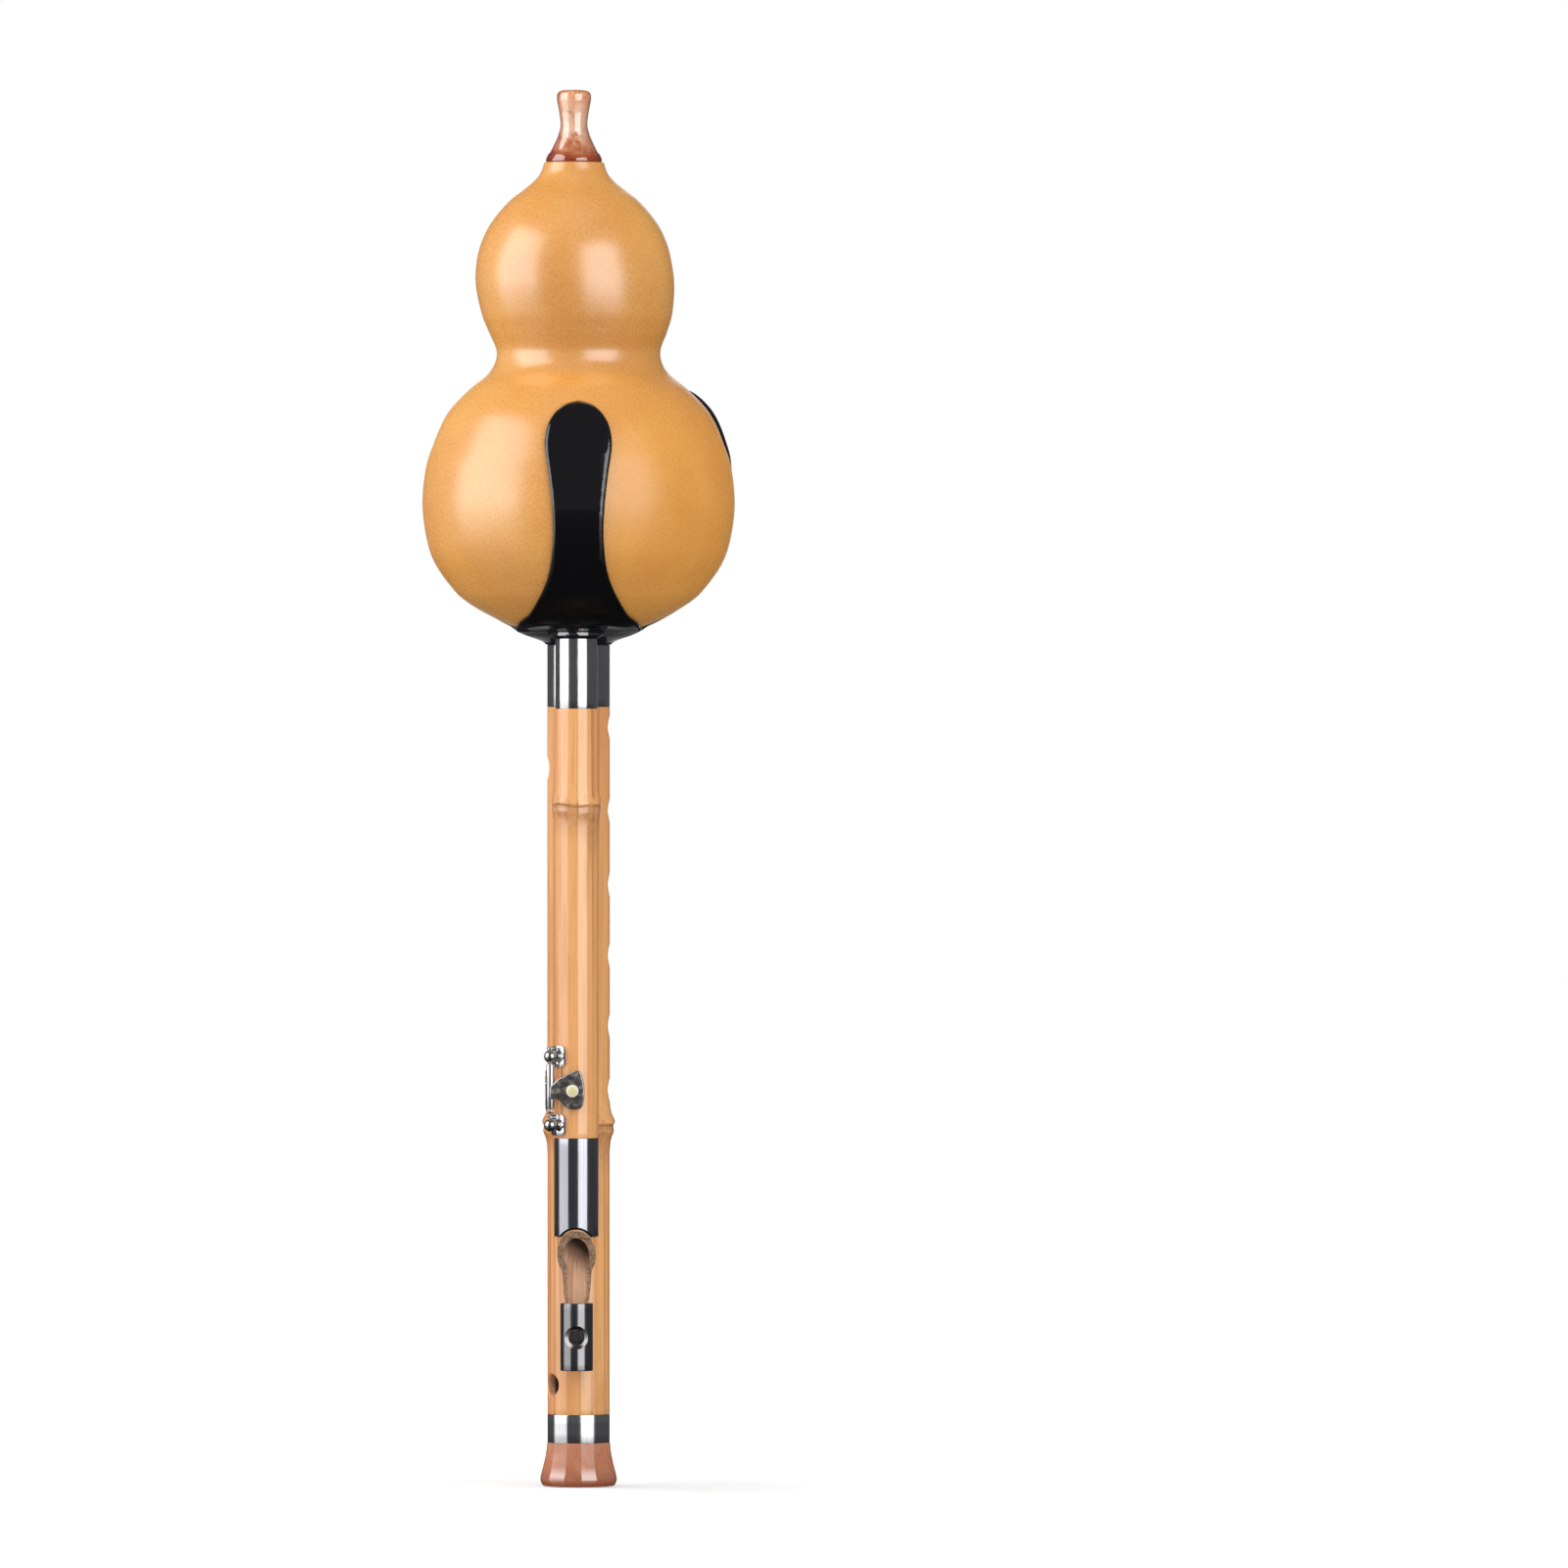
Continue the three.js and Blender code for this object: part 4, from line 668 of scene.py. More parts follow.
MAIN_BAMBOO = bamboo_paint("bamboo_main", MAIN_NODE, MAIN_NODE_REACH)
DRONE_BAMBOO = bamboo_paint("bamboo_drone", DRONE_NODE, DRONE_NODE_REACH)
CUT_BAMBOO = cut_bamboo_paint()
# Bare bamboo inside the bores, with painted shade that darkens it further in.
DRONE_BORE_BAMBOO = bore_bamboo_paint("bamboo_drone_bore", TONGUE_TOP + 5, TONGUE_TOP + 13)
MAIN_BORE_BAMBOO = bore_bamboo_paint("bamboo_main_bore", LOWER_HEIGHT - 8, LOWER_HEIGHT)
GOURD_SKIN = gourd_paint()
BLACK = black_paint()
STEEL = steel_paint("steel")
DARK_STEEL = steel_paint("dark_steel", 0.47, 0.14, 0.4, 1.1)
TAIL_STEEL = steel_paint("worn_steel", 0.36, 0.17, 0.6, 1.02)
RING_STEEL = steel_paint("ring_steel", 0.9)
KEY_SILVER = steel_paint("nickel_silver", 0.82, 0.07, 0.1)
TARNISHED = tarnished_paint()
MOUTH_AGATE = agate_paint("agate_mouthpiece", GOURD_TOP, GOURD_TOP + MOUTH_HEIGHT, [
    (0.02, (0.24, 0.035, 0.012)), (0.1, (0.38, 0.08, 0.02)), (0.2, (0.66, 0.30, 0.15)),
    (0.45, (0.76, 0.48, 0.33)), (0.7, (0.84, 0.50, 0.33)), (0.95, (0.84, 0.40, 0.21)),
], 0.4, 0.9, 2.3)
FOOT_AGATE = agate_paint("agate_foot", 0, FOOT_TOP, [
    (0.0, (0.42, 0.09, 0.03)), (0.12, (0.44, 0.15, 0.07)), (0.5, (0.46, 0.17, 0.09)),
    (1.0, (0.50, 0.21, 0.12)),
], 0.1, 0, 2.5)
FOOT_AGATE.set(Coat_Weight=FOOT_AGATE.range(FOOT_AGATE.axis("Z"), 6.5 * MM, 4 * MM, 0.08, 1))
CORK = plain_paint("cork", (0.45, 0.27, 0.14), 0.9, grain=900, depth=0.3, spread=0.45)
BRASS = plain_paint("brass", (0.65, 0.45, 0.16), 0.25, metallic=1)
TUBE_RESIN = plain_paint("tube_resin", (0.03, 0.024, 0.02), 0.35)
PAD_LEATHER = plain_paint("pad_leather", (0.62, 0.55, 0.42), 0.85, grain=1500, spread=0.3)
BUTTON_RIM = plain_paint("button_rim", (0.80, 0.72, 0.58), 0.35, coat=0.3, spread=0.08)
BUTTON_DISC = plain_paint("button_disc", (0.70, 0.65, 0.34), 0.3, coat=0.5, spread=0.08)


# Windchest

GOURD_CURVE = spline(
    [(reach * LOBE_RADIUS, rise * WAIST_HEIGHT) for rise, reach in LOWER_LOBE]
    + [(WAIST_RADIUS, WAIST_HEIGHT)]
    + [(reach * UPPER_RADIUS, WAIST_HEIGHT + rise * UPPER_HEIGHT) for rise, reach in UPPER_LOBE]
)


def gourd_profile(distance):
    """The gourd's outline, moved inward or outward, from the axis below to the axis above."""
    along = directions(GOURD_CURVE)
    radius = GOURD_CURVE[:, 0] + along[:, 1] * distance
    height = GOURD_CURVE[:, 1] - along[:, 0] * distance
    radius[0] = 0
    return [*zip(np.maximum(radius, 0), height), (0, height[-1])]


def leant(body):
    """Leans the gourd's upper lobe over."""
    def lean(places):
        share = np.clip((places[:, 2] / MM - GOURD_BOTTOM - WAIST_HEIGHT) / LEAN_HEIGHT, 0, 1)
        places[:, 0] += GOURD_LEAN * MM * share * share * (3 - 2 * share)
        return places
    return reshaped(body, lean)


def gourd_shell():
    place = (0, 0, GOURD_BOTTOM)
    neck = GOURD_HEIGHT - MOUTH_HOLE_DEPTH
    outside = gourd_profile(0)[:-1]
    mouth = [outside[-1], (MOUTH_HOLE_RADIUS, GOURD_HEIGHT), (MOUTH_HOLE_RADIUS, neck), (0, neck)]
    shell = leant(turned([*outside, *eased(mouth, 0.5)[1:]], 192, place, 50))
    ceiling = neck - GOURD_WALL
    cavity = [(r, min(z, ceiling)) for r, z in gourd_profile(-GOURD_WALL) if r > 0 or z < ceiling]
    cavity = leant(turned([*cavity, (0, ceiling)], 64, place))
    opening = prism(stadium(OPENING_HALF_WIDTH, OPENING_HALF_LENGTH), -2, OPENING_TOP, UPRIGHT, place)
    return carved(shell, cavity, opening, smooth_below=50)


class Outline:
    """Signed distances to a closed outline in a plane, negative inside, looked up on a grid."""

    STEP = 0.2

    def __init__(self, points, low, high):
        self.low = np.array(low, float)
        counts = np.ceil((np.array(high, float) - self.low) / self.STEP).astype(int) + 1
        a = self.low[0] + np.arange(counts[0])[:, None] * self.STEP
        b = self.low[1] + np.arange(counts[1])[None, :] * self.STEP
        best = np.full((counts[0], counts[1]), 1e9)
        inside = np.zeros((counts[0], counts[1]), bool)
        points = np.array(points, float)
        for p, q in zip(points, np.roll(points, -1, axis=0)):
            step = q - p
            length = max(float(step @ step), 1e-12)
            t = np.clip(((a - p[0]) * step[0] + (b - p[1]) * step[1]) / length, 0, 1)
            best = np.minimum(best, (a - p[0] - t * step[0]) ** 2 + (b - p[1] - t * step[1]) ** 2)
            if p[1] != q[1]:
                crosses = (p[1] > b) != (q[1] > b)
                inside ^= crosses & (a < p[0] + (b - p[1]) * step[0] / step[1])
        self.table = np.where(inside, -np.sqrt(best), np.sqrt(best)).astype(np.float32)

    def at(self, a, b):
        limits = np.array(self.table.shape) - 1.001
        i = np.clip((a - self.low[0]) / self.STEP, 0, limits[0])
        j = np.clip((b - self.low[1]) / self.STEP, 0, limits[1])
        i0, j0 = i.astype(np.int32), j.astype(np.int32)
        s, t = (i - i0).astype(np.float32), (j - j0).astype(np.float32)
        near = self.table[i0, j0] * (1 - s) + self.table[i0 + 1, j0] * s
        far = self.table[i0, j0 + 1] * (1 - s) + self.table[i0 + 1, j0 + 1] * s
        return near * (1 - t) + far * t


def melted(a, b, reach):
    """The union of two forms, with a fillet between them."""
    share = np.maximum(reach - np.abs(a - b), 0) / reach
    return np.minimum(a, b) - share * share * reach / 4


def eased_overlap(a, b, reach):
    """The overlap of two forms, with its edge rounded."""
    outer = np.sqrt(np.maximum(a + reach, 0) ** 2 + np.maximum(b + reach, 0) ** 2)
    return np.minimum(np.maximum(a + reach, b + reach), 0) + outer - reach


def bowl_and_boat(x, y, z, radius, reach):
    """The bowl under the gourd, the boat across it, and the drones' necks with their beads."""
    bowl_side = spline([(BOWL_RADIUS * out, BOWL_DEPTH * rise) for rise, out in BOWL_SHARES])
    outline = Outline([(-5, 0), *bowl_side, (-5, BOWL_DEPTH * 1.9)], (0, -4), (reach * 1.5, 30))
    form = outline.at(radius, z)

    boat_side = spline([(rise, width) for rise, width, _ in BOAT_SHARES])
    boat_end = spline([(rise, length) for rise, _, length in BOAT_SHARES])
    rise = (z - HUB_STEP) / BOAT_HEIGHT
    width = np.interp(rise, boat_side[:, 0], boat_side[:, 1]) * BOAT_HALF_WIDTH
    length = np.interp(rise, boat_end[:, 0], boat_end[:, 1]) * BOAT_HALF_LENGTH
    boat = np.hypot(x, np.maximum(np.abs(y) - (length - width), 0)) - width
    form = melted(form, eased_overlap(boat, NECK_TOP - z, 0.8), 2.5)
    for side in (-DRONE_SPACING, DRONE_SPACING):
        around = np.hypot(x, y - side)
        neck = np.maximum(np.maximum(around - NECK_RADIUS, HUB_STEP - z), z - NECK_TOP - 3)
        form = melted(form, neck, 1.5)
        for rise in BEAD_RISES:
            bead = np.hypot(around - BEAD_REACH, z - (HUB_STEP + rise)) - BEAD_RADIUS
            form = melted(form, bead, 0.4)
    return form


def claw(x, y, z, gourd, azimuth, height, spread, thinning):
    """A claw that lies on the gourd: flat across its face, with a spoon-shaped tip."""
    root = [(rise, CLAW_WAIST + (width - CLAW_WAIST) * spread) for rise, width in CLAW_ROOT]
    side = spline([(width * CLAW_HALF_WIDTH, rise * height) for rise, width in root + CLAW_TIP])
    side[:, 0] = np.maximum(side[:, 0], 0)
    outline = Outline([*side, *(side[:-1] * (-1, 1))[::-1]], (-30, -10), (30, height + 6))
    across = x * math.cos(azimuth) + y * math.sin(azimuth)
    out = x * math.sin(azimuth) - y * math.cos(azimuth)
    up = z - CLAW_RISE
    edge = np.maximum(outline.at(across, up), 6 - out)
    bulge = 1 - np.exp(-((across / CLAW_HALF_WIDTH) ** 2))
    hollow = 1.15 * CLAW_HALF_WIDTH ** 2 * bulge / (2 * LOBE_RADIUS)
    fade = np.clip((up - 6) / 24, 0, 1)
    flat_face = hollow * fade * fade * (3 - 2 * fade)
    thin = thinning * (np.clip(1.4 - up / 25, 0, 1) - 1.15 * np.clip((up - 40) / 15, 0, 1))
    skin = gourd - (CLAW_TOP - 0.7) - flat_face * 0.9 * spread + thin
    return eased_overlap(edge, skin, 1.2)


def gourd_base():
    """Bowl, boat, necks, claws and the plug in the gourd's opening, formed as one on a grid of distances."""
    voxel = 0.45
    reach = LOBE_RADIUS + CLAW_TOP + 2
    low = np.array([-reach, -reach, -2])
    high = np.array([reach, reach, CLAW_RISE + max(height for _, height, _, _ in CLAWS) + 2])
    x, y, z = np.meshgrid(*(
        (start + np.arange(math.ceil((end - start) / voxel)) * voxel).astype(np.float32)
        for start, end in zip(low, high)
    ), indexing="ij")
    radius = np.hypot(x, y)
    lift = GOURD_BOTTOM - BASE_BOTTOM
    gourd_outline = Outline([(r, h + lift) for r, h in gourd_profile(0)], (0, -4), (reach * 1.5, high[2] + 4))
    gourd = gourd_outline.at(radius, z)

    form = bowl_and_boat(x, y, z, radius, reach)
    for sizes in CLAWS:
        form = melted(form, claw(x, y, z, gourd, *sizes), 2.5)
    form = np.maximum(form, -gourd - 0.5)
    plug = np.hypot(x, np.maximum(np.abs(y) - PLUG_REACH, 0)) - PLUG_RADIUS
    plug = np.maximum(np.maximum(plug, z - PLUG_TOP), NECK_TOP + 0.5 - z)
    form = np.minimum(form, plug)

    limit = voxel * 3
    grid = openvdb.FloatGrid(limit)
    grid.copyFromArray(np.clip(form, -limit, limit))
    points, quads = grid.convertToQuads(0)
    base = mesh_object(points * voxel + low + np.array([0, 0, BASE_BOTTOM]), quads.tolist(), 60)
    start, end = BASE_BOTTOM - 4, BASE_BOTTOM + 20
    socket = [(0, start), (SOCKET_RELIEF, start), (SOCKET_RELIEF, DRONE_SEAT), (SOCKET_DRONE, DRONE_SEAT),
              (SOCKET_DRONE, end), (0, end)]
    cutters = [turned(socket, 96, (0, side, 0)) for side in (-DRONE_SPACING, DRONE_SPACING)]
    return carved(base, turned(rod(SOCKET_MAIN, start, end)), *cutters, smooth_below=60)


# Mouthpiece

def mouthpiece():
    side = spline([(MOUTH_RADIUS * reach, MOUTH_HEIGHT * rise) for rise, reach in MOUTH_SHARES], 12)
    side[:, 1] = np.maximum(side[:, 1], 0)
    bore = [side[-1], (MOUTH_BORE, MOUTH_HEIGHT), (MOUTH_BORE, TENON_END), (TENON_RADIUS, TENON_END)]
    tenon = [(TENON_RADIUS, GROOVE_LOW), (GROOVE_RADIUS, GROOVE_LOW), (GROOVE_RADIUS, GROOVE_HIGH),
             (TENON_RADIUS, GROOVE_HIGH), (TENON_RADIUS, 0), (side[0][0], 0)]
    return turned([*side, *eased(bore, 0.4)[1:], *tenon], 128, (GOURD_LEAN, 0, GOURD_TOP), 45)


# Pipes

def node_swell(radius, node_radius, middle, reach, groove):
    """The outline of a bamboo node: it flares to a groove, with a thin ridge under it, then runs out."""
    swell = node_radius - radius
    side = spline([(radius + swell * out, middle + reach * up) for out, up in NODE_SHARES], 8)
    line = np.exp(-(((side[:, 1] - middle - reach * 0.02) / 0.35) ** 2))
    side[:, 0] -= groove * line
    return [tuple(p) for p in side]


def bamboo_tube(profile, ease, steps, middle, reach):
    """A turned pipe whose node's ring shifts up and down by a few tenths as it goes round."""
    body = turned(dense(eased(profile, ease, 2, True), 1.6), steps)
    for vertex in body.data.vertices:
        x, y, z = vertex.co / MM
        near = math.exp(-(((z - middle) / reach) ** 2))
        turn = math.atan2(y, x)
        vertex.co.z += near * (0.4 * math.sin(2 * turn + 1) + 0.24 * math.sin(5 * turn)) * MM
    body.data.update()
    return body


def main_pipe():
    top = BARE_TOP + MAIN_IN_CAP
    profile = [
        (MAIN_BORE, FOOT_TOP), (MAIN_UNDER_CAP, FOOT_TOP), (MAIN_UNDER_CAP, RING_TOP),
        (MAIN_RADIUS, RING_TOP),
        *node_swell(MAIN_RADIUS, MAIN_NODE_RADIUS, MAIN_NODE, MAIN_NODE_REACH, MAIN_NODE_GROOVE),
        (MAIN_RADIUS, BARE_TOP), (MAIN_UNDER_CAP, BARE_TOP), (MAIN_UNDER_CAP, top), (MAIN_BORE, top),
        (MAIN_BORE, FOOT_TOP),
    ]
    pipe = bamboo_tube(profile, 0.2, 128, MAIN_NODE, MAIN_NODE_REACH)
    holes = [(math.pi / 2, height) for height in FINGER_HEIGHTS] + [(-math.pi / 2, THUMB_HEIGHT)]
    cutters = [hole_cutter(FINGER_RADIUS, MAIN_RADIUS, FINGER_EASE, *hole) for hole in holes]
    for turn in (0, math.pi):
        cutters.append(hole_cutter(LOWER_RADIUS, MAIN_RADIUS, LOWER_EASE, LOWER_AZIMUTH + turn, LOWER_HEIGHT))
        cutters.append(drill(TAIL_SCREW_HOLE, 5, 12, turn, TAIL_SCREW))
    return carved(pipe, *cutters)


def foot_bell():
    bore = spline([(FOOT_BORE, FOOT_TOP), FOOT_WAIST, (FOOT_MOUTH, 0)], 8)
    spigot = [(FOOT_SPIGOT, FOOT_TOP), (FOOT_SPIGOT, FOOT_SPIGOT_TOP), (FOOT_BORE, FOOT_SPIGOT_TOP)]
    profile = [(FOOT_MOUTH, 0), (FOOT_RIM, 0), *spline(FOOT_SIDE, 8), *spigot, *bore]
    return turned(profile, 128, smooth_below=50)


def scoop_cutter():
    """Everything in front of the quill's curved cut, about the drone's own axis."""
    curve = [(QUILL_RADIUS * out, SCOOP_TOP - SCOOP_LENGTH * down) for out, down in SCOOP_SHARES]
    points = [*spline(curve, 12), (TONGUE_PLANE, TAIL_TOP)]
    front, end = -QUILL_RADIUS * 2, TONGUE_END - 2
    outline = [(front, end), (TONGUE_PLANE, end), *points[::-1], (front, points[0][1])]
    return prism(outline, -10, 10, SIDEWAYS)


def channel_cutter():
    """The hollow down the tongue: round, and running out into the bore above."""
    low, high = TAIL_TOP - 1, TONGUE_TOP + 13
    side = spline([(CHANNEL_RADIUS, low + 1), (CHANNEL_RADIUS, high - 8), (CHANNEL_RADIUS * 0.88, high - 4),
                   (DRONE_BORE - CHANNEL_OFFSET - 0.1, high)], 6)
    return turned([(0, low), (CHANNEL_RADIUS, low), *side, (0, high)], 64, (0, CHANNEL_OFFSET, 0))


def drone_pipe(keyed):
    top = DRONE_BARE_TOP + DRONE_IN_CAP
    profile = [
        (DRONE_BORE, TONGUE_END), (QUILL_RADIUS, TONGUE_END), (QUILL_RADIUS, SLEEVE_TOP),
        (DRONE_RADIUS, SLEEVE_TOP),
        *node_swell(DRONE_RADIUS, DRONE_NODE_RADIUS, DRONE_NODE, DRONE_NODE_REACH, DRONE_NODE_GROOVE),
        (DRONE_RADIUS, DRONE_BARE_TOP), (DRONE_UNDER_CAP, DRONE_BARE_TOP), (DRONE_UNDER_CAP, top),
        (DRONE_BORE, top), (DRONE_BORE, TONGUE_END),
    ]
    pipe = bamboo_tube(profile, 0.15, 96, DRONE_NODE, DRONE_NODE_REACH)
    cutters = [scoop_cutter(), drill(TAIL_SCREW_LOOSE, 3, 9, math.pi, TAIL_SCREW), channel_cutter()]
    if keyed:
        cup_seat = rounded_box(4.2, 4.2, 2.1)
        cutters.append(prism(cup_seat, 6.6, 10, outward_axes(CUP_AZIMUTH), (0, 0, KEY_HEIGHT)))
        cutters.append(drill(2, 1, 10, CUP_AZIMUTH, KEY_HEIGHT, 48))
        cutters += [drill(KEY_SCREW_HOLE, 5.1, 10, SCREW_AZIMUTH, height, 24) for height in POST_HEIGHTS]
    return carved(pipe, *cutters)


def drone_sleeve():
    body = tube(SLEEVE_RADIUS, SLEEVE_RADIUS - CAP_WALL, SLEEVE_BOTTOM, SLEEVE_TOP, 0.12)
    return carved(body, scoop_cutter())


def tail_tube():
    """A barrel round the tongue, with a saddle on the melody pipe and a countersunk boss for the screw."""
    surface, place = TAIL_RADIUS - TAIL_OFFSET, (0, TAIL_OFFSET, 0)
    profile = eased(wall(TAIL_RADIUS - CAP_WALL, TAIL_RADIUS, TAIL_BOTTOM, TAIL_TOP), 0.3, 4, True)
    barrel = turned(dense(profile, 2), 96, place)
    foot = rounded_box(SADDLE_HALF_WIDTH, SADDLE_HALF_HEIGHT, SADDLE_CORNER)
    start = TAIL_OFFSET + TAIL_RADIUS - CAP_WALL / 2
    saddle = prism(foot, start, DRONE_SPACING - 8, outward_axes(math.pi), (0, 0, TAIL_SCREW))
    pipe = turned(rod(MAIN_RADIUS + SADDLE_CLEARANCE, 30, 66), 128, (0, DRONE_SPACING, 0))
    saddle = carved(saddle, pipe)
    boss = drill(BOSS_RADIUS, surface - BOSS_DEPTH, surface, 0, TAIL_SCREW, 64)
    boss = combined(boss, [turned(rod(TAIL_RADIUS - 0.2, 40, 57), 96, place)], "INTERSECT")
    body = combined(barrel, [saddle, boss], "UNION")
    access = [(0, -TAIL_OFFSET), (SINK_RADIUS, -TAIL_OFFSET), (SINK_RADIUS, surface - SINK_DEPTH),
              (SINK_MOUTH, surface - SINK_RIM), (SINK_MOUTH, surface + 2), (0, surface + 2)]
    back = drill(TAIL_SCREW_HOLE, 0, 12, math.pi, TAIL_SCREW)
    return carved(body, outward_turned(access, 0, TAIL_SCREW, 64), back)


def tail_screw():
    under = 0.3 - TONGUE_PLANE
    tip, top = MAIN_RADIUS - DRONE_SPACING - 1.9, under + TAIL_HEAD_HEIGHT
    profile = [(0, tip), (TAIL_SCREW_RADIUS, tip), (TAIL_SCREW_RADIUS, under), (TAIL_HEAD_RADIUS, under),
               (TAIL_HEAD_RADIUS, top), (0, top)]
    body = outward_turned(eased(profile, 0.3, 4), 0, TAIL_SCREW, 48)
    corners = np.radians(np.arange(0, 360, 60))
    hexagon = [(TAIL_HEX_RADIUS * math.cos(t), TAIL_HEX_RADIUS * math.sin(t)) for t in corners]
    return carved(body, prism(hexagon, under + 0.6, under + 4, outward_axes(0), (0, 0, TAIL_SCREW)))


def reed_tube(seat, under_cap, spigot, seat_height, tenon, reed, bore, length, plate_half, plate_length):
    """Turned tube that plugs into the base and carries the reed."""
    collar, shoulder, groove = seat - seat_height, seat + 14.6, tenon - 0.8
    low, top = collar - 8, shoulder + length
    profile = [
        (bore, low), (spigot, low), (spigot, collar), (under_cap, collar), (under_cap, seat), (tenon, seat),
        (tenon, seat + 2.2), (groove, seat + 2.2), (groove, seat + 12.4), (tenon, seat + 12.4),
        (tenon, shoulder), (reed, shoulder), (reed, top), (bore, top), (bore, low),
    ]
    body = turned(dense(eased(profile, 0.15, 2, True), 4), 64)
    axes, bottom = outward_axes(math.pi / 2), (0, 0, top - 4 - plate_length)
    flat = prism(oblong(plate_half + 0.3, -0.3, plate_length + 0.3), reed - 0.95, reed + 2, axes, bottom)
    slot = oblong(plate_half * 0.62, plate_length / 8, plate_length * 0.8)
    return carved(body, flat, prism(slot, 0, reed + 1, axes, bottom))


MAIN_HEAD = dict(under_cap=MAIN_UNDER_CAP, spigot=7.2, seat_height=6.3, tenon=7.4, reed=5.6, bore=3.6,
                 length=45, plate_half=2.9, plate_length=27)
DRONE_HEAD = dict(under_cap=DRONE_UNDER_CAP, spigot=3.8, seat_height=8.3, tenon=5, reed=4, bore=2.4,
                  length=36, plate_half=2.1, plate_length=21)


# Key

def key_post(height):
    """A saddle on the pipe, a stem, and a ball that carries the axle."""
    shell = tube(DRONE_RADIUS + 1.1, DRONE_RADIUS + 0.3, height - 6, height + 6, 0.05, 128)
    window = prism(rounded_box(3.2, 3.3, 1.4, 8), 0, 10.4, outward_axes(POST_AZIMUTH), (0, 0, height))
    saddle = bevelled(combined(shell, [window], "INTERSECT"), 0.25)
    hinge = DRONE_RADIUS + 3.3
    stem = [(0, 7.7), (1.6, 7.7), (1.6, 8.3), (1.2, 8.6), (0.95, 9.2), (0.95, hinge), (0, hinge)]
    stem = outward_turned(eased(stem, 0.3), POST_AZIMUTH, height)
    arc = np.radians(np.linspace(-90, 90, 33))
    ball = [(BALL_RADIUS * math.cos(t), BALL_RADIUS * math.sin(t)) for t in arc]
    body = combined(saddle, [stem, turned(ball, 64, (*HINGE, height), 60)], "UNION", 40)
    bore = turned(rod(AXLE_BORE, height - 4, height + 4), 32, (*HINGE, 0))
    return carved(body, bore, drill(KEY_SCREW_HOLE, 6, 10, SCREW_AZIMUTH, height), smooth_below=40)


def key_screw(height):
    profile = [(0, 5.2), (0.7, 5.2), (0.7, 8.3), (1, 8.3), (1, 8.6), (0.85, 8.82), (0.5, 8.9), (0, 8.92)]
    body = outward_turned(profile, SCREW_AZIMUTH, height, smooth_below=50)
    return carved(body, prism(oblong(0.12, -2, 2), 8.65, 9.5, outward_axes(SCREW_AZIMUTH), (0, 0, height)))


def key_axle():
    low, high = KEY_HEIGHT - 13, KEY_HEIGHT + 13.1
    profile = [(0, low), (AXLE_RADIUS, low), (AXLE_RADIUS, high), (1.3, high), (1.3, high + 0.5),
               (1.05, high + 0.8), (0, high + 0.8)]
    return turned(eased(profile, 0.15), 48, (*HINGE, 0))


def cup():
    """The cup over the tone hole: the pad's recess behind, the button's seat in front."""
    outline = [(CUP_WIDTH * x, CUP_HEIGHT * y) for x, y in CUP_SHARES]
    closed = spline([*outline[-2:], *outline, *outline[:2]], 6)[12:-12]
    plate = prism(closed, CUP_BACK, CUP_FRONT, outward_axes(CUP_AZIMUTH), (0, 0, KEY_HEIGHT))
    recess = drill(PAD_RECESS, 0, PAD_TOP, CUP_AZIMUTH, KEY_HEIGHT, 64)
    seat = [(0, BUTTON_SEAT), (BUTTON_HOLE, BUTTON_SEAT), (BUTTON_HOLE, 9.05), (2.5, 9.4), (0, 9.4)]
    seat = outward_turned(seat, CUP_AZIMUTH, KEY_HEIGHT, 64)
    return carved(bevelled(plate, 0.55, 4), recess, seat, smooth_below=50)


def touch():
    """The thumb's plate, bowed along -X."""
    place, reach = (*HINGE, KEY_HEIGHT), TOUCH_LENGTH
    line = spline([(TOUCH_BOW * bow, reach * along) for bow, along in TOUCH_PLAN], 8)
    along = directions(line)
    across = np.stack([along[:, 1], -along[:, 0]], axis=1) * TOUCH_HALF_WALL
    strip = [*(line + across), *(line - across)[::-1]]
    strip = prism(strip, -TOUCH_HALF_HEIGHT, TOUCH_HALF_HEIGHT, UPRIGHT, place)
    half = spline([(reach * along, TOUCH_HALF_HEIGHT * rise) for along, rise in TOUCH_SIDE], 8)
    half[:, 1] = np.maximum(half[:, 1], 0)
    side = prism([*half, *(half[:-1] * (1, -1))[::-1]], -reach, reach, SIDEWAYS, place)
    return bevelled(combined(strip, [side], "INTERSECT"), 0.3)


def key_lever():
    """Hinge tube, cup and touch, and for each face whether it is the cup's tarnished front."""
    profile = wall(AXLE_BORE, 1.35, KEY_HEIGHT - 5.5, KEY_HEIGHT + 8.4)
    hinge = turned(eased(profile, 0.2, 3, True), 64, (*HINGE, 0))
    plate = cup()
    outward = Vector(outward_axes(CUP_AZIMUTH)[2])
    for face in plate.data.polygons:
        face.material_index = 1 if face.normal.dot(outward) > 0.93 else 0
    lever = joined([hinge, plate, touch()])
    return lever, [face.material_index == 1 for face in lever.data.polygons]


def key_button():
    """The button, and for each face whether it is on the disc within the rim."""
    rim, top = BUTTON_BOTTOM + 0.7, BUTTON_BOTTOM + 0.85
    profile = [(0, BUTTON_BOTTOM), (2, BUTTON_BOTTOM), (2, BUTTON_BOTTOM + 0.6), (1.9, rim), (1.35, rim),
               (1.25, BUTTON_BOTTOM + 0.8), (1.1, top), (0, top)]
    button = outward_turned(profile, CUP_AZIMUTH, KEY_HEIGHT, 64, 50)
    across, up, _ = map(Vector, outward_axes(CUP_AZIMUTH))
    centres = [face.center for face in button.data.polygons]
    return button, [math.hypot(c.dot(across), c.dot(up) - KEY_HEIGHT * MM) < 1.3 * MM for c in centres]


# Everything in its place

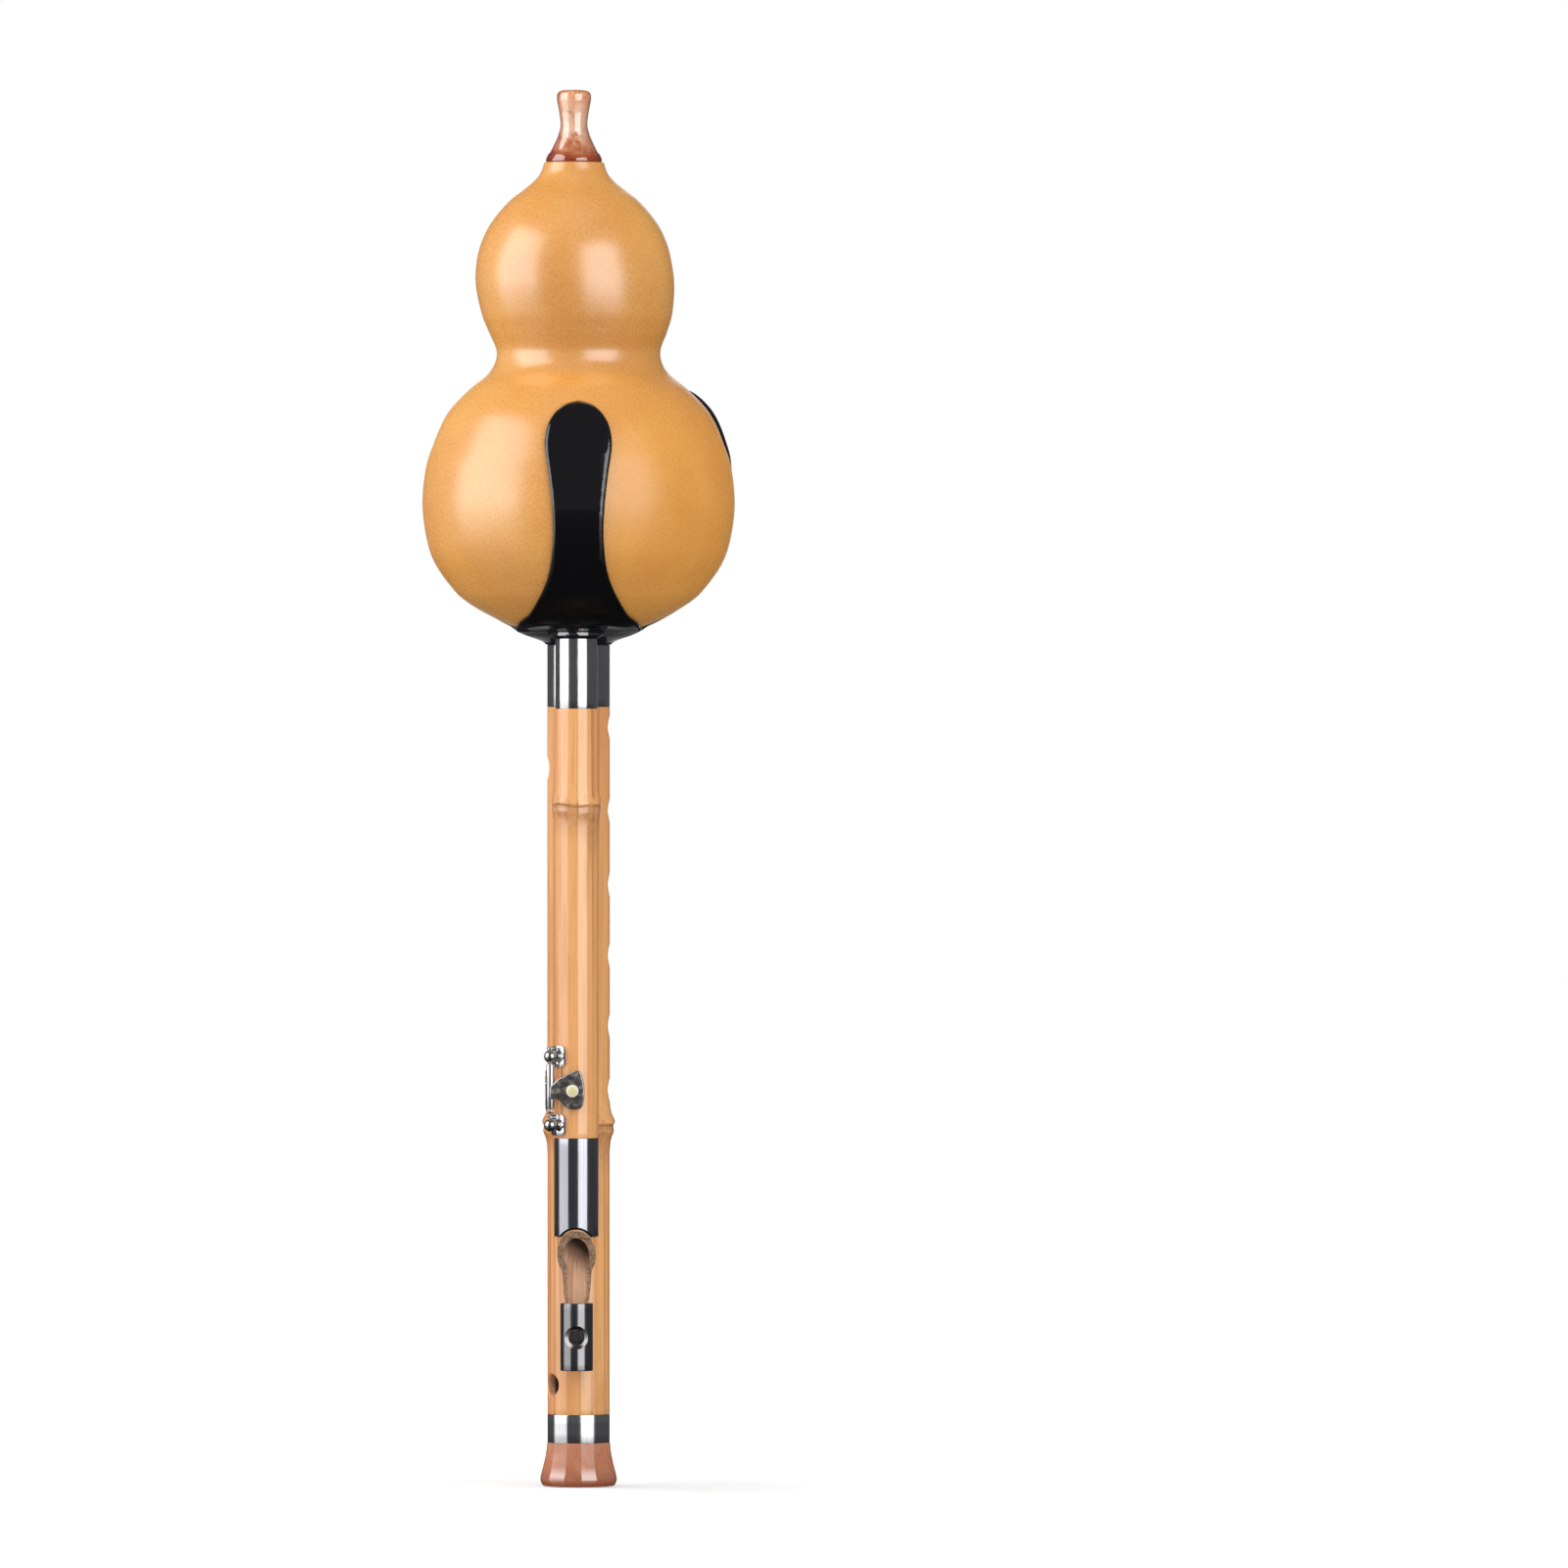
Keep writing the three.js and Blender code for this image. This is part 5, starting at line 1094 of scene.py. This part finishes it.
def show(node, body, paint, rides, place=(0, 0, 0), turn=0):
    """Turns and moves a piece to its place, gives it its finish, and lets it stand for its node."""
    body.name = f"{node}_look"
    moved(body, *place, turn=turn)
    body.data.materials.clear()
    body.data.materials.append(paint.material)
    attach(body, rides)
    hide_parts(node)
    return body


def also_paint(body, paint, chosen):
    """Gives the chosen faces another finish."""
    body.data.materials.append(paint.material)
    for face, is_chosen in zip(body.data.polygons, chosen):
        if is_chosen:
            face.material_index = len(body.data.materials) - 1


def show_head(prefix, seat, head, place=(0, 0), turn=0):
    cork = tube(head["tenon"] + 0.7, head["tenon"] - 0.5, seat + 2.5, seat + 12.1, 0.5, 64)
    show(f"{prefix}_tenon_cork", cork, CORK, "pipes", place)
    show(f"{prefix}_reed_tube", reed_tube(seat, **head), TUBE_RESIN, "pipes", place, turn)


def show_drone(prefix, side, keyed):
    """side is -1 for the near drone, 1 for the far one, which is turned round."""
    place = (0, side * DRONE_SPACING)
    turn = 0 if side < 0 else math.pi
    pipe = show(f"{prefix}_pipe", drone_pipe(keyed), DRONE_BAMBOO, "pipes", place, turn)
    paint_cut_faces(pipe, place)
    ferrule = tube(FERRULE_RADIUS, FERRULE_RADIUS - CAP_WALL, DRONE_BARE_TOP, DRONE_SEAT)
    steel_pieces = {"ferrule": (ferrule, STEEL), "sleeve": (drone_sleeve(), DARK_STEEL),
                    "tail_tube": (tail_tube(), TAIL_STEEL), "tail_screw": (tail_screw(), DARK_STEEL)}
    for name, (body, paint) in steel_pieces.items():
        show(f"{prefix}_{name}", body, paint, "pipes", place, turn)
    show_head(prefix, DRONE_SEAT, DRONE_HEAD, place, turn)


def paint_cut_faces(pipe, place):
    """The quill's cut faces and the inside of the bore are bare bamboo."""
    channel = place[1] - math.copysign(CHANNEL_OFFSET, place[1])
    cut, bare = [], []
    for face in pipe.data.polygons:
        centre = face.center / MM
        away = Vector((centre.x - place[0], centre.y - place[1])).length
        in_channel = centre.z < SCOOP_TOP and math.hypot(centre.x, centre.y - channel) < CHANNEL_RADIUS + 0.04
        cut.append(away < QUILL_RADIUS - 0.12 and centre.z < SCOOP_TOP + 8)
        bare.append(away < DRONE_BORE + 0.1 or in_channel and centre.z > TAIL_TOP - 1.2)
    also_paint(pipe, CUT_BAMBOO, cut)
    also_paint(pipe, DRONE_BORE_BAMBOO, bare)


def show_key():
    place = (0, -DRONE_SPACING)
    for name, height in zip(("upper", "lower"), POST_HEIGHTS):
        for part, body in (("post", key_post(height)), ("screw", key_screw(height))):
            show(f"key_{name}_{part}", body, KEY_SILVER, "pipes", place)
    show("key_axle", key_axle(), STEEL, "pipes", place)
    lever, is_cup = key_lever()
    also_paint(show("key_lever", lever, KEY_SILVER, "key", place), TARNISHED, is_cup)
    button, is_disc = key_button()
    also_paint(show("key_button", button, BUTTON_RIM, "key", place), BUTTON_DISC, is_disc)


def show_all():
    show("gourd_shell", gourd_shell(), GOURD_SKIN, "windchest")
    show("gourd_base", gourd_base(), BLACK, "windchest")
    show("mouthpiece", mouthpiece(), MOUTH_AGATE, "mouth")
    cork = tube(**MOUTH_CORK, ease=0.4, steps=64)
    show("mouthpiece_cork", cork, CORK, "mouth", (GOURD_LEAN, 0, GOURD_TOP))
    pipe = show("main_pipe", main_pipe(), MAIN_BAMBOO, "pipes")
    reaches = [math.hypot(face.center.x, face.center.y) / MM for face in pipe.data.polygons]
    also_paint(pipe, MAIN_BORE_BAMBOO, [reach < MAIN_UNDER_CAP - 0.1 for reach in reaches])
    for name, low, high, paint in (("main_ferrule", BARE_TOP, BASE_BOTTOM, STEEL),
                                   ("lower_ring", FOOT_TOP, RING_TOP, RING_STEEL)):
        ring = tube(MAIN_RADIUS, MAIN_RADIUS - CAP_WALL, low, high, steps=128)
        show(name, ring, paint, "pipes")
    show("foot_bell", foot_bell(), FOOT_AGATE, "pipes")
    show_head("main", BASE_BOTTOM, MAIN_HEAD)
    show_drone("drone_a", -1, True)
    show_drone("drone_b", 1, False)
    show_key()


def paint_kept_nodes():
    """The inner pieces that are shown as they are."""
    finishes = {"reed_plate": BRASS, "reed_plug": CORK, "key_pad": PAD_LEATHER, "key_spring": STEEL}
    for name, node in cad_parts.items():
        for part, paint in finishes.items():
            if part in name:
                node.data.materials.clear()
                node.data.materials.append(paint.material)
    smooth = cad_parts["key_spring"].modifiers.new("smooth", "SUBSURF")
    smooth.levels = smooth.render_levels = 2


# Studio

def white_to_rays(nodes, otherwise):
    """White to the camera, to mirrors and through glass, and another grey to the rest."""
    rays = nodes.node("ShaderNodeLightPath").outputs
    seen = nodes.math("MAXIMUM", rays["Is Camera Ray"], rays["Is Glossy Ray"])
    seen = nodes.math("MAXIMUM", seen, rays["Is Transmission Ray"])
    return nodes.mix(seen, (otherwise, otherwise, otherwise), (1, 1, 1))


def white_floor():
    """White to the camera, but for the instrument's own shadow close by."""
    bpy.ops.mesh.primitive_plane_add(size=12)
    floor = bpy.context.object
    floor.name = "floor"
    paint = Paint("floor", (0.5, 0.5, 0.5), 0.9)
    middle = paint.node("ShaderNodeVectorMath")
    middle.operation = "LENGTH"
    paint.put(paint.place, middle.inputs[0])
    paint.set(Specular_IOR_Level=0, Emission_Color=white_to_rays(paint, 0),
              Emission_Strength=paint.range(middle.outputs["Value"], 0.06, 0.34, 0.4, 1))
    floor.data.materials.append(paint.material)


def dark_tent():
    """Black cloth round and over the instrument, open behind, on a black table; only reflections see it."""
    radius, height, steps = 2.6, 3.2, 60
    turns = np.radians(np.linspace(-168, 168, steps))
    places = [(radius * math.sin(t), -radius * math.cos(t), z) for z in (0.0004, height) for t in turns]
    faces = [(i, i + 1, steps + i + 1, steps + i) for i in range(steps - 1)]
    faces += [tuple(range(steps, 2 * steps)), tuple(range(steps))]
    tent = mesh_object(np.array(places) / MM, faces)
    tent.name = "dark_tent"
    cloth = Paint("dark_cloth", (0.01, 0.01, 0.01), 1)
    cloth.set(Specular_IOR_Level=0, Emission_Color=(0.078, 0.078, 0.083), Emission_Strength=1)
    tent.data.materials.append(cloth.material)
    is_table = [face.center.z < 0.01 for face in tent.data.polygons]
    also_paint(tent, Paint("dark_table", (0.01, 0.01, 0.01), 0.08), is_table)
    for kind in ("visible_camera", "visible_diffuse", "visible_shadow", "visible_transmission"):
        setattr(tent, kind, False)


def softbox(name, azimuth, distance, width, height, middle, power, tilt=90, reflected=True):
    """A flat light turned to the instrument, its sizes in metres; a tilt of 90 degrees stands upright."""
    light = bpy.data.lights.new(name, "AREA")
    light.shape = "RECTANGLE"
    light.size, light.size_y = width, height
    light.energy = power
    lamp = bpy.data.objects.new(name, light)
    bpy.context.scene.collection.objects.link(lamp)
    turn = math.radians(azimuth)
    lamp.location = (distance * math.sin(turn), -distance * math.cos(turn), middle)
    lamp.rotation_euler = (math.radians(tilt), 0, turn)
    lamp.visible_glossy = reflected


def studio():
    white_floor()
    world = bpy.data.worlds.new("studio")
    bpy.context.scene.world = world
    world.use_nodes = True
    sky = Nodes(world.node_tree)
    sky.put(white_to_rays(sky, 0.5), sky.tree.nodes["Background"].inputs["Color"])
    dark_tent()
    softbox("left_high", -70, 1.2, 1.28, 1.4, 0.9, 11.5)
    softbox("left_low", -70, 1.2, 1.28, 0.2, 0.1, 1)
    softbox("right", 35, 1.6, 1.4, 1.6, 0.8, 14.5)
    softbox("left_fill", -122, 1.2, 0.8, 1.6, 0.8, 13, reflected=False)
    softbox("right_fill", 115, 1.2, 0.8, 1.6, 0.8, 2.5, reflected=False)
    softbox("top_fill", 0, 0.4, 1.5, 1.5, 2, 12, tilt=12, reflected=False)


def camera():
    """A long lens from far off; the instrument stands left of the picture's middle."""
    azimuth, distance, height = math.radians(2.1), 6, 0.255
    aside, look_at = 0.0655, 0.224
    view = bpy.data.cameras.new("camera")
    view.lens = 432
    view.sensor_width = 36
    view.clip_end = 50
    eye = bpy.data.objects.new("camera", view)
    bpy.context.scene.collection.objects.link(eye)
    eye.location = (distance * math.sin(azimuth), -distance * math.cos(azimuth), height)
    tilt, heading = math.atan2(height - look_at, distance), math.atan2(aside, distance)
    eye.rotation_euler = (math.pi / 2 - tilt, 0, azimuth - heading)
    bpy.context.scene.camera = eye


show_all()
paint_kept_nodes()
studio()
camera()
bpy.context.scene.view_settings.view_transform = "Standard"
